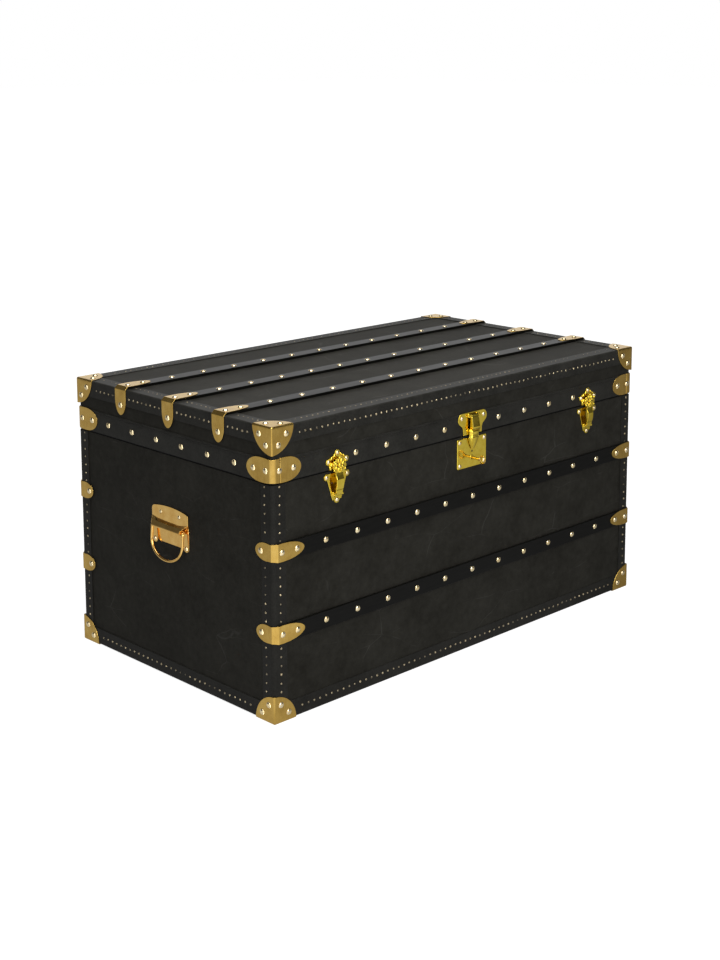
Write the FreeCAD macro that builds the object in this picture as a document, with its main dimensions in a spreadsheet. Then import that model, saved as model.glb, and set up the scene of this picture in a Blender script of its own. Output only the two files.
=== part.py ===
import FreeCAD, Part

import math
import os

import Sketcher

# Flat-top steamer trunk with a hinged lid, in millimetres.
# The origin is on the floor under the middle of the box, +X runs along the front to the right,
# the front faces -Y and +Z is up.

SIZES = {
    # box and lid
    "box_length": 994.0,
    "box_depth": 564.5,
    "corner_radius": 7.0,
    "seam_height": 424.5,
    "seam_gap": 0.4,
    "seam_reveal": 2.0,
    "lid_height": 96.6,
    "board": 10.0,
    "leather": 1.5,
    "lining": 1.0,
    # edge bindings, lid band and closing lip
    "binding": 1.6,
    "binding_width": 30.0,
    "band": 1.8,
    "band_height": 42.0,
    "band_return": 75.0,
    "lip": 5.0,
    "lip_rise": 8.5,
    "lip_drop": 34.0,
    "lip_clearance": 0.6,
    # slats
    "slat_width": 31.0,
    "slat": 5.5,
    "slat_drop": 40.5,
    "slat_pitch": 145.0,
    "top_slat_pitch": 143.0,
    # pressed brass: corner caps, clips and nails
    "cap": 1.4,
    "cap_reach": 50.0,
    "clip": 1.3,
    "clip_width": 33.0,
    "clip_long_arm": 69.0,
    "clip_short_arm": 50.0,
    "lid_clip_height": 44.0,
    "lid_clip_arm": 67.0,
    "nail_radius": 5.5,
    "nail_rise": 2.6,
    "small_nail_radius": 4.0,
    "nail_pitch": 76.0,
    "end_nail_pitch": 74.0,
    "cap_nail_far": 33.0,
    "cap_nail_near": 15.5,
    "lid_clip_nail_near": 17.0,
    "lid_clip_nail_far": 49.0,
    "clip_nail_near": 18.0,
    "clip_nail_far": 52.0,
    "clip_nail_short": 36.0,
    # end handles
    "handle_plate": 1.5,
    "handle_half_width": 56.0,
    "handle_rise": 38.0,
    "handle_arch": 8.5,
    "handle_corner": 5.0,
    "handle_lobe": 10.0,
    "handle_fall": 29.0,
    "handle_foot_rise": 5.0,
    "handle_top_nail": 27.0,
    "handle_nail_drop": 13.0,
    "ring_height": 288.0,
    "ring_standoff": 7.5,
    "ring_wire": 2.6,
    "ring_half_width": 45.4,
    "ring_corner": 5.0,
    "ring_drop": 59.0,
    "ring_bow": 34.0,
    "saddle_length": 78.0,
    "saddle_wall": 2.0,
    "saddle_flare": 6.0,
    # latches
    "latch_inset": 147.0,
    "plate_drop": 5.5,
    "latch_plate": 1.5,
    "latch_head": 22.0,
    "latch_tall": 49.0,
    "latch_foot": 10.5,
    "latch_foot_lobe": 6.3,
    "latch_lobe": 5.8,
    "latch_lobe_spread": 24.4,
    "latch_lobe_drop": 6.0,
    "latch_pivot_rise": 11.0,
    "latch_pivot_standoff": 5.0,
    "latch_barrel": 3.2,
    "latch_pin": 1.5,
    "latch_barrel_width": 13.6,
    "latch_ear": 3.4,
    "lever_width": 17.0,
    "lever_bow": 12.4,
    "lever_strap": 2.0,
    "lever_taper_low": 4.8,
    "lever_taper_high": 9.6,
    "lever_neck_rise": 32.0,
    "lever_neck_tall": 6.0,
    "lever_neck_width": 8.0,
    "lever_head_width": 29.0,
    "hook_rise": 17.7,
    "catch_foot": 19.5,
    "catch_head": 6.0,
    "catch_lobe_spread": 21.0,
    "catch_lobe_rise": 15.6,
    "catch_rise": 29.1,
    "catch_lip_width": 15.0,
    "catch_lip_reach": 8.0,
    # lock, hasp and key
    "lock_half_width": 40.5,
    "lock_tall": 58.0,
    "lock_plate": 1.8,
    "lock_corner": 3.0,
    "lock_nail_inset": 6.5,
    "case_half_width": 30.0,
    "case_depth": 9.3,
    "case_margin": 5.0,
    "case_clearance": 0.2,
    "keyhole_rise": 18.0,
    "key_shank": 2.5,
    "key_reach": 36.5,
    "key_bow": 8.5,
    "key_bow_eye": 4.6,
    "key_bow_thick": 2.8,
    "key_bit": 8.0,
    "key_bit_thick": 2.4,
    "staple_drop": 14.0,
    "staple_width": 6.4,
    "staple_tall": 10.0,
    "staple_depth": 7.0,
    "bolt_tall": 4.8,
    "bolt_deep": 4.0,
    "bolt_length": 22.0,
    "hasp_half_width": 40.0,
    "hasp_rise": 43.6,
    "hasp_waist": 26.0,
    "hasp_lobe": 9.8,
    "hasp_pivot_drop": 6.5,
    "hasp_pivot_standoff": 6.9,
    "hasp_strap_width": 20.0,
    "hasp_strap": 2.2,
    "hasp_bow": 13.4,
    "hasp_nose_drop": 8.5,
    "hasp_nose": 7.0,
    "hasp_block_rise": 12.0,
    # fits of moving pieces
    "pin_clearance": 0.05,
    "side_clearance": 0.3,
    # lid hinges
    "hinge_inset": 167.0,
    "hinge_width": 56.0,
    "hinge_leaf": 1.8,
    "hinge_tall": 40.0,
    "hinge_barrel": 4.0,
    "hinge_pin": 2.0,
    "hinge_standoff": 4.3,
}

doc = FreeCAD.newDocument("trunk")
sheet = doc.addObject("Spreadsheet::Sheet", "dims")
for row, (alias, number) in enumerate(SIZES.items(), start=1):
    sheet.set(f"A{row}", alias)
    sheet.set(f"B{row}", str(number))
    sheet.setAlias(f"B{row}", alias)
doc.recompute()


class Size:
    """A length of the sheet, or one worked out from such lengths: its value and its formula."""

    def __init__(self, value, formula):
        self.value = value
        self.formula = formula

    def __add__(self, other):
        other = as_size(other)
        return Size(self.value + other.value, f"({self.formula} + {other.formula})")

    def __sub__(self, other):
        other = as_size(other)
        return Size(self.value - other.value, f"({self.formula} - {other.formula})")

    def __mul__(self, other):
        other = as_size(other)
        return Size(self.value * other.value, f"({self.formula} * {other.formula})")

    def __truediv__(self, other):
        other = as_size(other)
        return Size(self.value / other.value, f"({self.formula} / {other.formula})")

    def __radd__(self, other):
        return as_size(other) + self

    def __rsub__(self, other):
        return as_size(other) - self

    def __rmul__(self, other):
        return as_size(other) * self

    def __neg__(self):
        return as_size(0) - self

    def __float__(self):
        return float(self.value)


def as_size(number):
    return number if isinstance(number, Size) else Size(float(number), repr(float(number)))


class Sheet:
    """Every driving dimension as an attribute, read back from the sheet's cells."""

    def __getattr__(self, alias):
        return Size(float(sheet.get(alias)), f"dims.{alias}")


d = Sheet()
nodes = []


def bind(obj, prop, size):
    obj.setExpression(prop, as_size(size).formula)


def place(obj, at):
    for axis, size in zip("xyz", at):
        bind(obj, f"Placement.Base.{axis}", size)


def box(name, low, high):
    obj = doc.addObject("Part::Box", name)
    for prop, start, end in zip(("Length", "Width", "Height"), low, high):
        bind(obj, prop, as_size(end) - start)
    place(obj, low)
    return obj


TURNS = {
    "x": FreeCAD.Rotation(FreeCAD.Vector(0, 1, 0), 90),
    "y": FreeCAD.Rotation(FreeCAD.Vector(1, 0, 0), -90),
    "z": FreeCAD.Rotation(),
}


def cylinder(name, start, axis, radius, length):
    obj = doc.addObject("Part::Cylinder", name)
    bind(obj, "Radius", radius)
    bind(obj, "Height", length)
    obj.Placement = FreeCAD.Placement(FreeCAD.Vector(), TURNS[axis])
    place(obj, start)
    return obj


def fuse(name, pieces):
    obj = doc.addObject("Part::MultiFuse", name)
    obj.Shapes = pieces
    obj.Refine = True
    return obj


def common(name, pieces):
    obj = doc.addObject("Part::MultiCommon", name)
    obj.Shapes = pieces
    obj.Refine = True
    return obj


def group(name, pieces):
    obj = doc.addObject("Part::Compound", name)
    obj.Links = pieces
    return obj


def cut(name, base, tools):
    obj = doc.addObject("Part::Cut", name)
    obj.Base = base
    obj.Tool = tools[0] if len(tools) == 1 else group(f"{name}_tools", tools)
    obj.Refine = True
    return obj


def node(obj, name):
    """Marks the finished object as the sub-part of that name."""
    obj.Label = name
    nodes.append(obj)
    return obj


def draw(sketch, steps):
    """Closes an outline through its points, each held by two distances from the origin.
    A third entry is the radius of an arc to the next point: plus turns left, minus turns right."""
    ends = []
    for step, after in zip(steps, steps[1:] + steps[:1]):
        start = FreeCAD.Vector(float(step[0]), float(step[1]), 0)
        end = FreeCAD.Vector(float(after[0]), float(after[1]), 0)
        if len(step) == 2:
            index = sketch.addGeometry(Part.LineSegment(start, end))
            ends.append((index, 1, 2))
            continue
        radius = as_size(step[2])
        left = radius.value > 0
        radius = radius if left else -radius
        chord = end - start
        rise = math.sqrt(max(radius.value**2 - (chord.Length / 2) ** 2, 0.0))
        normal = FreeCAD.Vector(-chord.y, chord.x, 0) / chord.Length
        centre = (start + end) / 2 + normal * (rise if left else -rise)
        begin, stop = (start, end) if left else (end, start)
        angles = [math.atan2(p.y - centre.y, p.x - centre.x) for p in (begin, stop)]
        circle = Part.Circle(centre, FreeCAD.Vector(0, 0, 1), radius.value)
        index = sketch.addGeometry(Part.ArcOfCircle(circle, *angles))
        ends.append((index, 1, 2) if left else (index, 2, 1))
        held = sketch.addConstraint(Sketcher.Constraint("Radius", index, radius.value))
        bind(sketch, f"Constraints[{held}]", radius)
    for (index, _, tail), (following, head, _) in zip(ends, ends[1:] + ends[:1]):
        sketch.addConstraint(Sketcher.Constraint("Coincident", index, tail, following, head))
    for step, (index, head, _) in zip(steps, ends):
        for kind, size in zip(("DistanceX", "DistanceY"), step):
            rule = Sketcher.Constraint(kind, -1, 1, index, head, float(size))
            held = sketch.addConstraint(rule)
            bind(sketch, f"Constraints[{held}]", size)


def profile(name, plane, outlines, length, at=(0, 0, 0), midplane=False, turn=None):
    """A body padded from closed outlines on one of its origin planes."""
    body = doc.addObject("PartDesign::Body", name)
    origin_plane = next(f for f in body.Origin.OriginFeatures if f.Role == f"{plane}_Plane")
    sketch = body.newObject("Sketcher::SketchObject", f"{name}_sketch")
    sketch.AttachmentSupport = [(origin_plane, "")]
    sketch.MapMode = "FlatFace"
    for steps in outlines:
        draw(sketch, steps)
    pad = body.newObject("PartDesign::Pad", f"{name}_pad")
    pad.Profile = sketch
    pad.Midplane = midplane
    bind(pad, "Length", length)
    if turn:
        body.Placement = FreeCAD.Placement(FreeCAD.Vector(), turn)
    place(body, at)
    return body


CORNER_CHORDS = 3


def arc(centre, radius, start, end, chords):
    """Points along a round stretch, drawn with chords, between two angles in degrees."""
    across, up = centre
    points = []
    for step in range(chords + 1):
        angle = math.radians(start + (end - start) * step / chords)
        sideways, upwards = round(math.cos(angle), 9), round(math.sin(angle), 9)
        points.append((across + radius * sideways, up + radius * upwards))
    return points


def mirrored(right):
    """A closed outline from its right half, which is given from the bottom up."""
    return right + [(-x, y) for x, y in reversed(right)]


def rounded(half_x, half_y, radius, chords=CORNER_CHORDS):
    """A rectangle with its corners taken off by a few chords; one chord makes a chamfer."""
    x, y = half_x - radius, half_y - radius
    return [
        *arc((x, -y), radius, -90, 0, chords),
        *arc((x, y), radius, 0, 90, chords),
        *arc((-x, y), radius, 90, 180, chords),
        *arc((-x, -y), radius, 180, 270, chords),
    ]


def flat_sheet(name, plane, outline, low, high):
    """A flat sheet between two levels, drawn on the plane that it lies along."""
    start = {"XY": (0, 0, low), "XZ": (0, high, 0), "YZ": (low, 0, 0)}[plane]
    return profile(name, plane, [outline], high - low, start)


half_length = d.box_length / 2
half_depth = d.box_depth / 2
underside = d.cap + d.binding
lid_foot = d.seam_height + d.seam_gap
lid_top = lid_foot + d.lid_height

# Heights and places of the hardware, counted from the seam, the handle's bar and the ends of the box
lock_top = d.seam_height - d.plate_drop
lock_bottom = lock_top - d.lock_tall
keyhole_height = lock_bottom + d.keyhole_rise
staple_height = lock_top - d.staple_drop
hasp_top = lid_foot + d.hasp_rise
hasp_pivot_height = hasp_top - d.hasp_pivot_drop
hasp_nose_height = staple_height - d.hasp_nose_drop
latch_place = half_length - d.latch_inset
latch_head_height = d.seam_height - d.plate_drop
latch_foot_height = latch_head_height - d.latch_tall
latch_lobe_height = latch_head_height - d.latch_lobe_drop
latch_pivot_height = latch_foot_height + d.latch_pivot_rise
hook_height = d.seam_height + d.hook_rise
catch_lobe_height = lid_foot + d.catch_lobe_rise
catch_top_height = lid_foot + d.catch_rise
upper_slat_height = lock_bottom - d.slat_drop - d.slat_width / 2
lower_slat_height = upper_slat_height - d.slat_pitch
handle_top = d.ring_height + d.handle_rise
handle_top_nail_height = handle_top - d.handle_nail_drop
handle_lobe_height = d.ring_height - d.handle_fall
handle_foot = handle_lobe_height + d.handle_foot_rise
hinge_place = half_length - d.hinge_inset


def wrap(name, skin, inner, low, high):
    """A sheet of one thickness bent round the four sides, its inner face that far off the leather."""
    outer = inner + skin
    outlines = [
        rounded(half_length + outer, half_depth + outer, d.corner_radius + outer),
        rounded(half_length + inner, half_depth + inner, d.corner_radius + inner),
    ]
    return profile(name, "XY", outlines, high - low, (0, 0, low))


def slab(name, inset, low, high):
    """A flat sheet or board that far inside the leather's face."""
    outline = rounded(half_length - inset, half_depth - inset, d.corner_radius - inset)
    return profile(name, "XY", [outline], high - low, (0, 0, low))


# Boards, leather and lining of the base and of the lid


def wall_boards(names, low, high, pocket):
    """Front and back boards run through, the two end boards stand between them."""
    outside = half_depth - d.leather
    inside = outside - d.board
    end_outside = half_length - d.leather
    for name, side in zip(names[:2], (-1, 1)):
        block = slab(f"{name}_block", d.leather, low, high)
        faces = sorted((side * inside, side * outside), key=float)
        keep = box(f"{name}_keep", (-end_outside, faces[0], low), (end_outside, faces[1], high))
        board = common(f"{name}_board", [block, keep])
        if pocket and side < 0:
            board = cut(f"{name}_pocketed", board, [pocket])
        node(board, name)
    for name, side in zip(names[2:], (-1, 1)):
        faces = sorted((side * (end_outside - d.board), side * end_outside), key=float)
        node(box(f"{name}_board", (faces[0], -inside, low), (faces[1], inside, high)), name)


case_top = lock_top - d.case_margin
case_bottom = lock_bottom + d.case_margin
pocket_size = d.case_half_width + d.case_clearance
lock_pocket = box(
    "lock_pocket",
    (-pocket_size, -half_depth - 1, case_bottom - d.case_clearance),
    (pocket_size, d.case_depth + d.case_clearance - half_depth, case_top + d.case_clearance),
)

floor_board = underside + d.leather
wall_foot = floor_board + d.board
node(slab("bottom_board", d.leather, floor_board, wall_foot), "base_bottom_panel")
wall_boards(
    ("base_front_panel", "base_back_panel", "base_left_panel", "base_right_panel"),
    wall_foot,
    d.seam_height,
    lock_pocket,
)
skin_top = d.seam_height - d.seam_reveal
base_skin = wrap("base_skin", d.leather, -d.leather, underside, skin_top)
node(cut("base_skin_cut", base_skin, [lock_pocket]), "base_leather")
node(slab("base_underskin", d.leather, underside, floor_board), "base_bottom_cover")

lid_board_top = lid_top - d.leather
lid_board_foot = lid_board_top - d.board
node(slab("lid_board", d.leather, lid_board_foot, lid_board_top), "lid_top_panel")
wall_boards(
    ("lid_front_rim", "lid_back_rim", "lid_left_rim", "lid_right_rim"),
    lid_foot,
    lid_board_foot,
    None,
)
node(wrap("lid_skin", d.leather, -d.leather, lid_foot, lid_top), "lid_leather")
node(slab("lid_topskin", d.leather, lid_board_top, lid_top), "lid_top_cover")

inner_x = half_length - d.leather - d.board
inner_y = half_depth - d.leather - d.board


def lining(name, flat_low, flat_high, low, high):
    """Paper-backed cloth glued to the flat board and to the four walls inside."""
    sheets = [box(f"{name}_flat", (-inner_x, -inner_y, flat_low), (inner_x, inner_y, flat_high))]
    for side in (-1, 1):
        faces = sorted((side * (inner_y - d.lining), side * inner_y), key=float)
        sheets.append(
            box(f"{name}_long{len(sheets)}", (-inner_x, faces[0], low), (inner_x, faces[1], high))
        )
    for side in (-1, 1):
        faces = sorted((side * (inner_x - d.lining), side * inner_x), key=float)
        reach = inner_y - d.lining
        sheets.append(
            box(f"{name}_end{len(sheets)}", (faces[0], -reach, low), (faces[1], reach, high))
        )
    node(group(f"{name}_sheets", sheets), name)


lip_foot = d.seam_height - d.lip_drop
lip_top = d.seam_height + d.lip_rise
lining("base_lining", wall_foot, wall_foot + d.lining, wall_foot + d.lining, lip_foot)
lid_lining_foot = lip_top + d.lip_clearance * 4
lining("lid_lining", lid_board_foot - d.lining, lid_board_foot, lid_lining_foot, lid_board_foot - d.lining)


def closing_lip():
    """Strips inside the base walls that stand up into the lid and keep it in line."""
    strips = []
    upper_x = inner_x - d.lip_clearance
    upper_y = inner_y - d.lip_clearance
    reach = inner_y - d.lip
    seam = d.seam_height
    for number, side in enumerate((-1, 1)):
        lower = sorted((side * reach, side * inner_y), key=float)
        upper = sorted((side * reach, side * upper_y), key=float)
        pieces = [
            box(f"lip_long_low{number}", (-inner_x, lower[0], lip_foot), (inner_x, lower[1], seam)),
            box(f"lip_long_top{number}", (-upper_x, upper[0], seam), (upper_x, upper[1], lip_top)),
        ]
        strips.append(fuse(f"lip_long{number}", pieces))
        lower = sorted((side * (inner_x - d.lip), side * inner_x), key=float)
        upper = sorted((side * (inner_x - d.lip), side * upper_x), key=float)
        pieces = [
            box(f"lip_end_low{number}", (lower[0], -reach, lip_foot), (lower[1], reach, d.seam_height)),
            box(f"lip_end_top{number}", (upper[0], -reach, d.seam_height), (upper[1], reach, lip_top)),
        ]
        strips.append(fuse(f"lip_end{number}", pieces))
    node(group("lip_strips", strips), "closing_lip")


closing_lip()

# Leather bindings along the edges, and the band round the foot of the lid

binding_x = half_length + d.binding
binding_y = half_depth + d.binding


def edge_binding(name, low, high, flange_low, flange_high):
    """An angle of leather folded over a long edge all round: one leg on the sides, one flat."""
    legs = wrap(f"{name}_legs", d.binding, as_size(0), low, high)
    opening = rounded(half_length - d.binding_width, half_depth - d.binding_width, d.corner_radius)
    outside = rounded(binding_x, binding_y, d.corner_radius + d.binding)
    flange = profile(
        f"{name}_flange", "XY", [outside, opening], flange_high - flange_low, (0, 0, flange_low)
    )
    node(fuse(f"{name}_angle", [legs, flange]), name)


bottom_binding_top = underside + d.binding_width
edge_binding("base_bottom_binding", underside, bottom_binding_top, d.cap, underside)
edge_binding("lid_top_binding", lid_top - d.binding_width, lid_top, lid_top, lid_top + d.binding)


def corners():
    return [(side, end) for side in (-1, 1) for end in (-1, 1)]


def corner_box(name, side, end, reach_x, reach_y, low, high, spare):
    """A box over one vertical corner that reaches so far along each of its two faces."""
    xs = sorted((side * (binding_x - reach_x), side * (binding_x + spare)), key=float)
    ys = sorted((end * (binding_y - reach_y), end * (binding_y + spare)), key=float)
    return box(name, (xs[0], ys[0], low), (xs[1], ys[1], high))


spare = d.slat + d.clip * 2
corner_wrap = wrap("corner_wrap", d.binding, as_size(0), bottom_binding_top, skin_top)
strips = [
    corner_box(
        f"corner_strip{number}", side, end, d.binding_width, d.binding_width,
        bottom_binding_top, skin_top, spare,
    )
    for number, (side, end) in enumerate(corners())
]
node(common("corner_angles", [corner_wrap, group("corner_strips", strips)]), "base_corner_bindings")

band_top = lid_foot + d.band_height
band_belt = wrap("band_belt", d.band, as_size(0), lid_foot, band_top)
band_gap = half_length - d.band_return
back_opening = box(
    "band_back_opening",
    (-band_gap, half_depth - d.corner_radius, lid_foot - 1),
    (band_gap, half_depth + d.band * 2, band_top + 1),
)
node(cut("band_strip", band_belt, [back_opening]), "lid_band")

# Slats: bent-wood laths on the front, back and top, and low runners under the bottom

# A chamfer that touches a round corner takes this share of its radius off each side
TANGENT_CUT = 2 - math.sqrt(2)

slat_face = half_depth + d.slat
slat_lift = d.slat - d.binding
notch = d.binding_width + d.side_clearance
slat_chamfer = TANGENT_CUT * (d.corner_radius + d.binding) + slat_lift - d.side_clearance


def lath_outline(base, raised, face, crest):
    """A lath from its edge: notched over the bindings at both ends, where it is cut off at 45 degrees."""
    flat = half_length - notch
    foot = crest + slat_lift
    right = [(flat, base), (flat, raised), (foot, raised), (crest, face)]
    return mirrored(right)


def wall_slat(name, height, side):
    outline = lath_outline(-half_depth, -binding_y, -slat_face, binding_x - slat_chamfer)
    turn = None if side < 0 else FreeCAD.Rotation(FreeCAD.Vector(0, 0, 1), 180)
    low = height - d.slat_width / 2
    node(profile(f"{name}_lath", "XY", [outline], d.slat_width, (0, 0, low), turn=turn), name)


wall_slat("front_upper_slat", upper_slat_height, -1)
wall_slat("front_lower_slat", lower_slat_height, -1)
wall_slat("back_upper_slat", upper_slat_height, 1)
wall_slat("back_lower_slat", lower_slat_height, 1)

top_slat_face = lid_top + d.slat


def top_slats():
    outline = lath_outline(lid_top, lid_top + d.binding, top_slat_face, binding_x - slat_lift)
    laths = [
        profile(
            f"top_lath{number}", "XZ", [outline], d.slat_width,
            (0, (number - 1) * d.top_slat_pitch, 0), midplane=True,
        )
        for number in range(3)
    ]
    node(group("top_laths", laths), "lid_slats")


top_slats()


def bottom_runners():
    reach = half_length - d.binding_width - d.side_clearance
    runners = []
    for number in (-1, 0, 1):
        middle = number * d.top_slat_pitch
        low = (-reach, middle - d.slat_width / 2, 0)
        high = (reach, middle + d.slat_width / 2, underside)
        runners.append(box(f"runner{number + 1}", low, high))
    node(group("runners", runners), "bottom_runners")


bottom_runners()

# Pressed brass: corner caps and clips


CAP_CHORDS = 5
TIP_CHORDS = 5


def quarter(corner, ways, radius):
    """A quarter round that opens two given ways from its square corner."""
    (u, v), (sideways, upwards) = corner, ways
    rim = arc((0, 0), radius, 0, 90, CAP_CHORDS)
    return [(u, v)] + [(u + sideways * x, v + upwards * y) for x, y in rim]


def corner_caps(name, floor, rise):
    """Three-leaved caps folded over the corners, each leaf a quarter round of thin sheet."""
    caps = []
    for number, (side, end) in enumerate(corners()):
        x, y = side * (binding_x + d.cap), end * (binding_y + d.cap)
        face_levels = sorted((y, end * binding_y), key=float)
        end_levels = sorted((x, side * binding_x), key=float)
        flat_levels = sorted((floor, floor + rise * d.cap), key=float)
        label, reach = f"{name}_leaf{number}", d.cap_reach
        leaves = [
            flat_sheet(f"{label}_face", "XZ", quarter((x, floor), (-side, rise), reach), *face_levels),
            flat_sheet(f"{label}_end", "YZ", quarter((y, floor), (-end, rise), reach), *end_levels),
            flat_sheet(f"{label}_flat", "XY", quarter((x, y), (-side, -end), reach), *flat_levels),
        ]
        caps.append(fuse(f"{name}_folded{number}", leaves))
    node(group(f"{name}_set", caps), name)


corner_caps("base_corner_caps", as_size(0), 1)
corner_caps("lid_corner_caps", lid_top + d.binding + d.cap, -1)


def tongue(name, plane, levels, root, way, reach, across, width, upright=False):
    """The outline of a clip's arm as a prism: it runs one way from its root to a round tip."""
    tip = width / 2
    middle = root + way * (reach - tip)
    outline = [
        (root - way * spare, across - tip),
        *arc((middle, across), tip, -90, way * 180 - 90, TIP_CHORDS),
        (root - way * spare, across + tip),
    ]
    if upright:
        outline = [(v, u) for u, v in outline]
    return flat_sheet(name, plane, outline, *levels)


def wall_clips(name, heights, width, half_x, half_y, corner, chords, arms, ends):
    """Brass strips bent round the vertical corners: one arm on the long face, one on the end."""
    clips = []
    outer_corner = corner + d.clip * (TANGENT_CUT if chords == 1 else 1)
    for level, height in enumerate(heights):
        belt = profile(
            f"{name}_belt{level}", "XY",
            [
                rounded(half_x + d.clip, half_y + d.clip, outer_corner, chords),
                rounded(half_x, half_y, corner, chords),
            ],
            width, (0, 0, height - width / 2),
        )
        tools = []
        for number, (side, end) in enumerate(corners()):
            if end not in ends:
                continue
            label = f"{name}_arm{level}{number}"
            levels = sorted((end * (half_y - corner), end * (half_y + d.clip * 2)), key=float)
            root = side * (half_x + d.clip)
            on_face = tongue(f"{label}_face", "XZ", levels, root, -side, arms[0], height, width)
            levels = sorted((side * (half_x - corner), side * (half_x + d.clip * 2)), key=float)
            root = end * (half_y + d.clip)
            on_end = tongue(f"{label}_end", "YZ", levels, root, -end, arms[1], height, width)
            tools.append(fuse(f"{label}_both", [on_face, on_end]))
        clips.append(common(f"{name}_cut{level}", [belt, group(f"{name}_arms{level}", tools)]))
    node(group(f"{name}_set", clips), name)


slat_heights = (upper_slat_height, lower_slat_height)
slat_arms = (d.clip_long_arm, d.clip_short_arm)
for name, ends in (("front_slat_clips", (-1,)), ("back_slat_clips", (1,))):
    wall_clips(name, slat_heights, d.clip_width, binding_x, slat_face, slat_chamfer, 1, slat_arms, ends)

lid_clip_height = lid_foot + d.side_clearance + d.lid_clip_height / 2
wall_clips(
    "lid_corner_clips", (lid_clip_height,), d.lid_clip_height,
    half_length + d.band, half_depth + d.band, d.corner_radius + d.band, CORNER_CHORDS,
    (d.lid_clip_arm, d.lid_clip_arm), (-1, 1),
)


def top_slat_clips():
    """Brass strips folded over the slats' ends, with a long arm on top and a short one down the end."""
    clips = []
    rim = d.clip
    foot = lid_top - d.clip_short_arm - d.clip_width

    def hoop_outline(reach, top, low, chamfer):
        return mirrored([(reach, low), (reach, top - chamfer), (reach - chamfer, top)])

    outlines = [
        hoop_outline(binding_x + rim, top_slat_face + rim, foot, slat_lift + TANGENT_CUT * rim),
        hoop_outline(binding_x, top_slat_face, foot + rim, slat_lift),
    ]
    for number in range(3):
        middle = (number - 1) * d.top_slat_pitch
        hoop = profile(
            f"top_clip_hoop{number}", "XZ", outlines, d.clip_width, (0, middle, 0), midplane=True
        )
        tools = []
        for side in (-1, 1):
            label = f"top_clip{number}{'lr'[side > 0]}"
            levels = (top_slat_face - slat_lift, top_slat_face + rim * 2)
            on_top = tongue(
                f"{label}_top", "XY", levels, side * (binding_x + rim), -side, d.clip_long_arm, middle,
                d.clip_width,
            )
            levels = sorted((side * (binding_x - slat_lift), side * (binding_x + rim * 2)), key=float)
            on_end = tongue(
                f"{label}_end", "YZ", levels, top_slat_face + rim, -1, d.clip_short_arm + d.slat, middle,
                d.clip_width, upright=True,
            )
            tools.append(fuse(f"{label}_both", [on_top, on_end]))
        clips.append(common(f"top_clip_cut{number}", [hoop, group(f"top_clip_arms{number}", tools)]))
    node(group("top_clip_set", clips), "lid_slat_clips")


top_slat_clips()

# End handles: a plate with a saddle, and a ring that swings in it

HANDLE_ENDS = {
    "left": (-1, FreeCAD.Rotation()),
    "right": (1, FreeCAD.Rotation(FreeCAD.Vector(0, 0, 1), 180)),
}
LOBE_CHORDS = 5
ARCH_CHORDS = 7
ELBOW_CHORDS = 3
BOW_CHORDS = 9
WIRE_FLATS = 6
ring_out = d.ring_standoff


def on_end(obj, side, turn):
    """Moves a piece drawn against the plane x = 0, facing -X, onto one end of the box."""
    obj.Placement = FreeCAD.Placement(FreeCAD.Vector(), turn)
    place(obj, (side * half_length, 0, 0))
    return obj


def handle_plate(end, side, turn):
    """A plate with an arched top and two feet, and a hood across it that holds the ring's bar."""
    half, lobe, arch, corner = d.handle_half_width, d.handle_lobe, d.handle_arch, d.handle_corner
    crown = half - corner
    arch_radius = (crown * crown + arch * arch) / (2 * arch)
    lean = math.degrees(math.asin(float(crown) / float(arch_radius)))
    arch_end = 90 - lean / ARCH_CHORDS
    right = [
        (half - 2 * lobe, handle_foot),
        *arc((half - lobe, handle_lobe_height), lobe, 180, 360, LOBE_CHORDS),
        *arc((crown, handle_top - arch - corner), corner, 0, 90, 2)[:-1],
        *arc((0, handle_top - arch_radius), arch_radius, 90 - lean, arch_end, ARCH_CHORDS // 2),
    ]
    name = f"{end}_handle_plate"
    plate = flat_sheet(f"{name}_sheet", "YZ", mirrored(right), -d.handle_plate, as_size(0))
    bore_radius = d.ring_wire + d.pin_clearance
    wall = bore_radius + d.saddle_wall
    level, lip = d.ring_height, d.ring_height - d.ring_wire / 4
    hood_outline = [
        (-d.handle_plate / 2, level - wall),
        (-ring_out, level - wall),
        (-ring_out, lip),
        (-ring_out - wall, lip),
        *arc((-ring_out, level), wall, 180, 90, 2),
        (-d.handle_plate / 2, level + wall + d.saddle_flare),
    ]
    reach = d.saddle_length / 2
    hood = flat_sheet(f"{name}_hood", "XZ", hood_outline, -reach, reach)
    bore = cylinder(f"{name}_bore", (-ring_out, -reach, level), "y", bore_radius, d.saddle_length)
    node(on_end(cut(f"{name}_saddle", fuse(f"{name}_solid", [plate, hood]), [bore]), side, turn), name)


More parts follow.
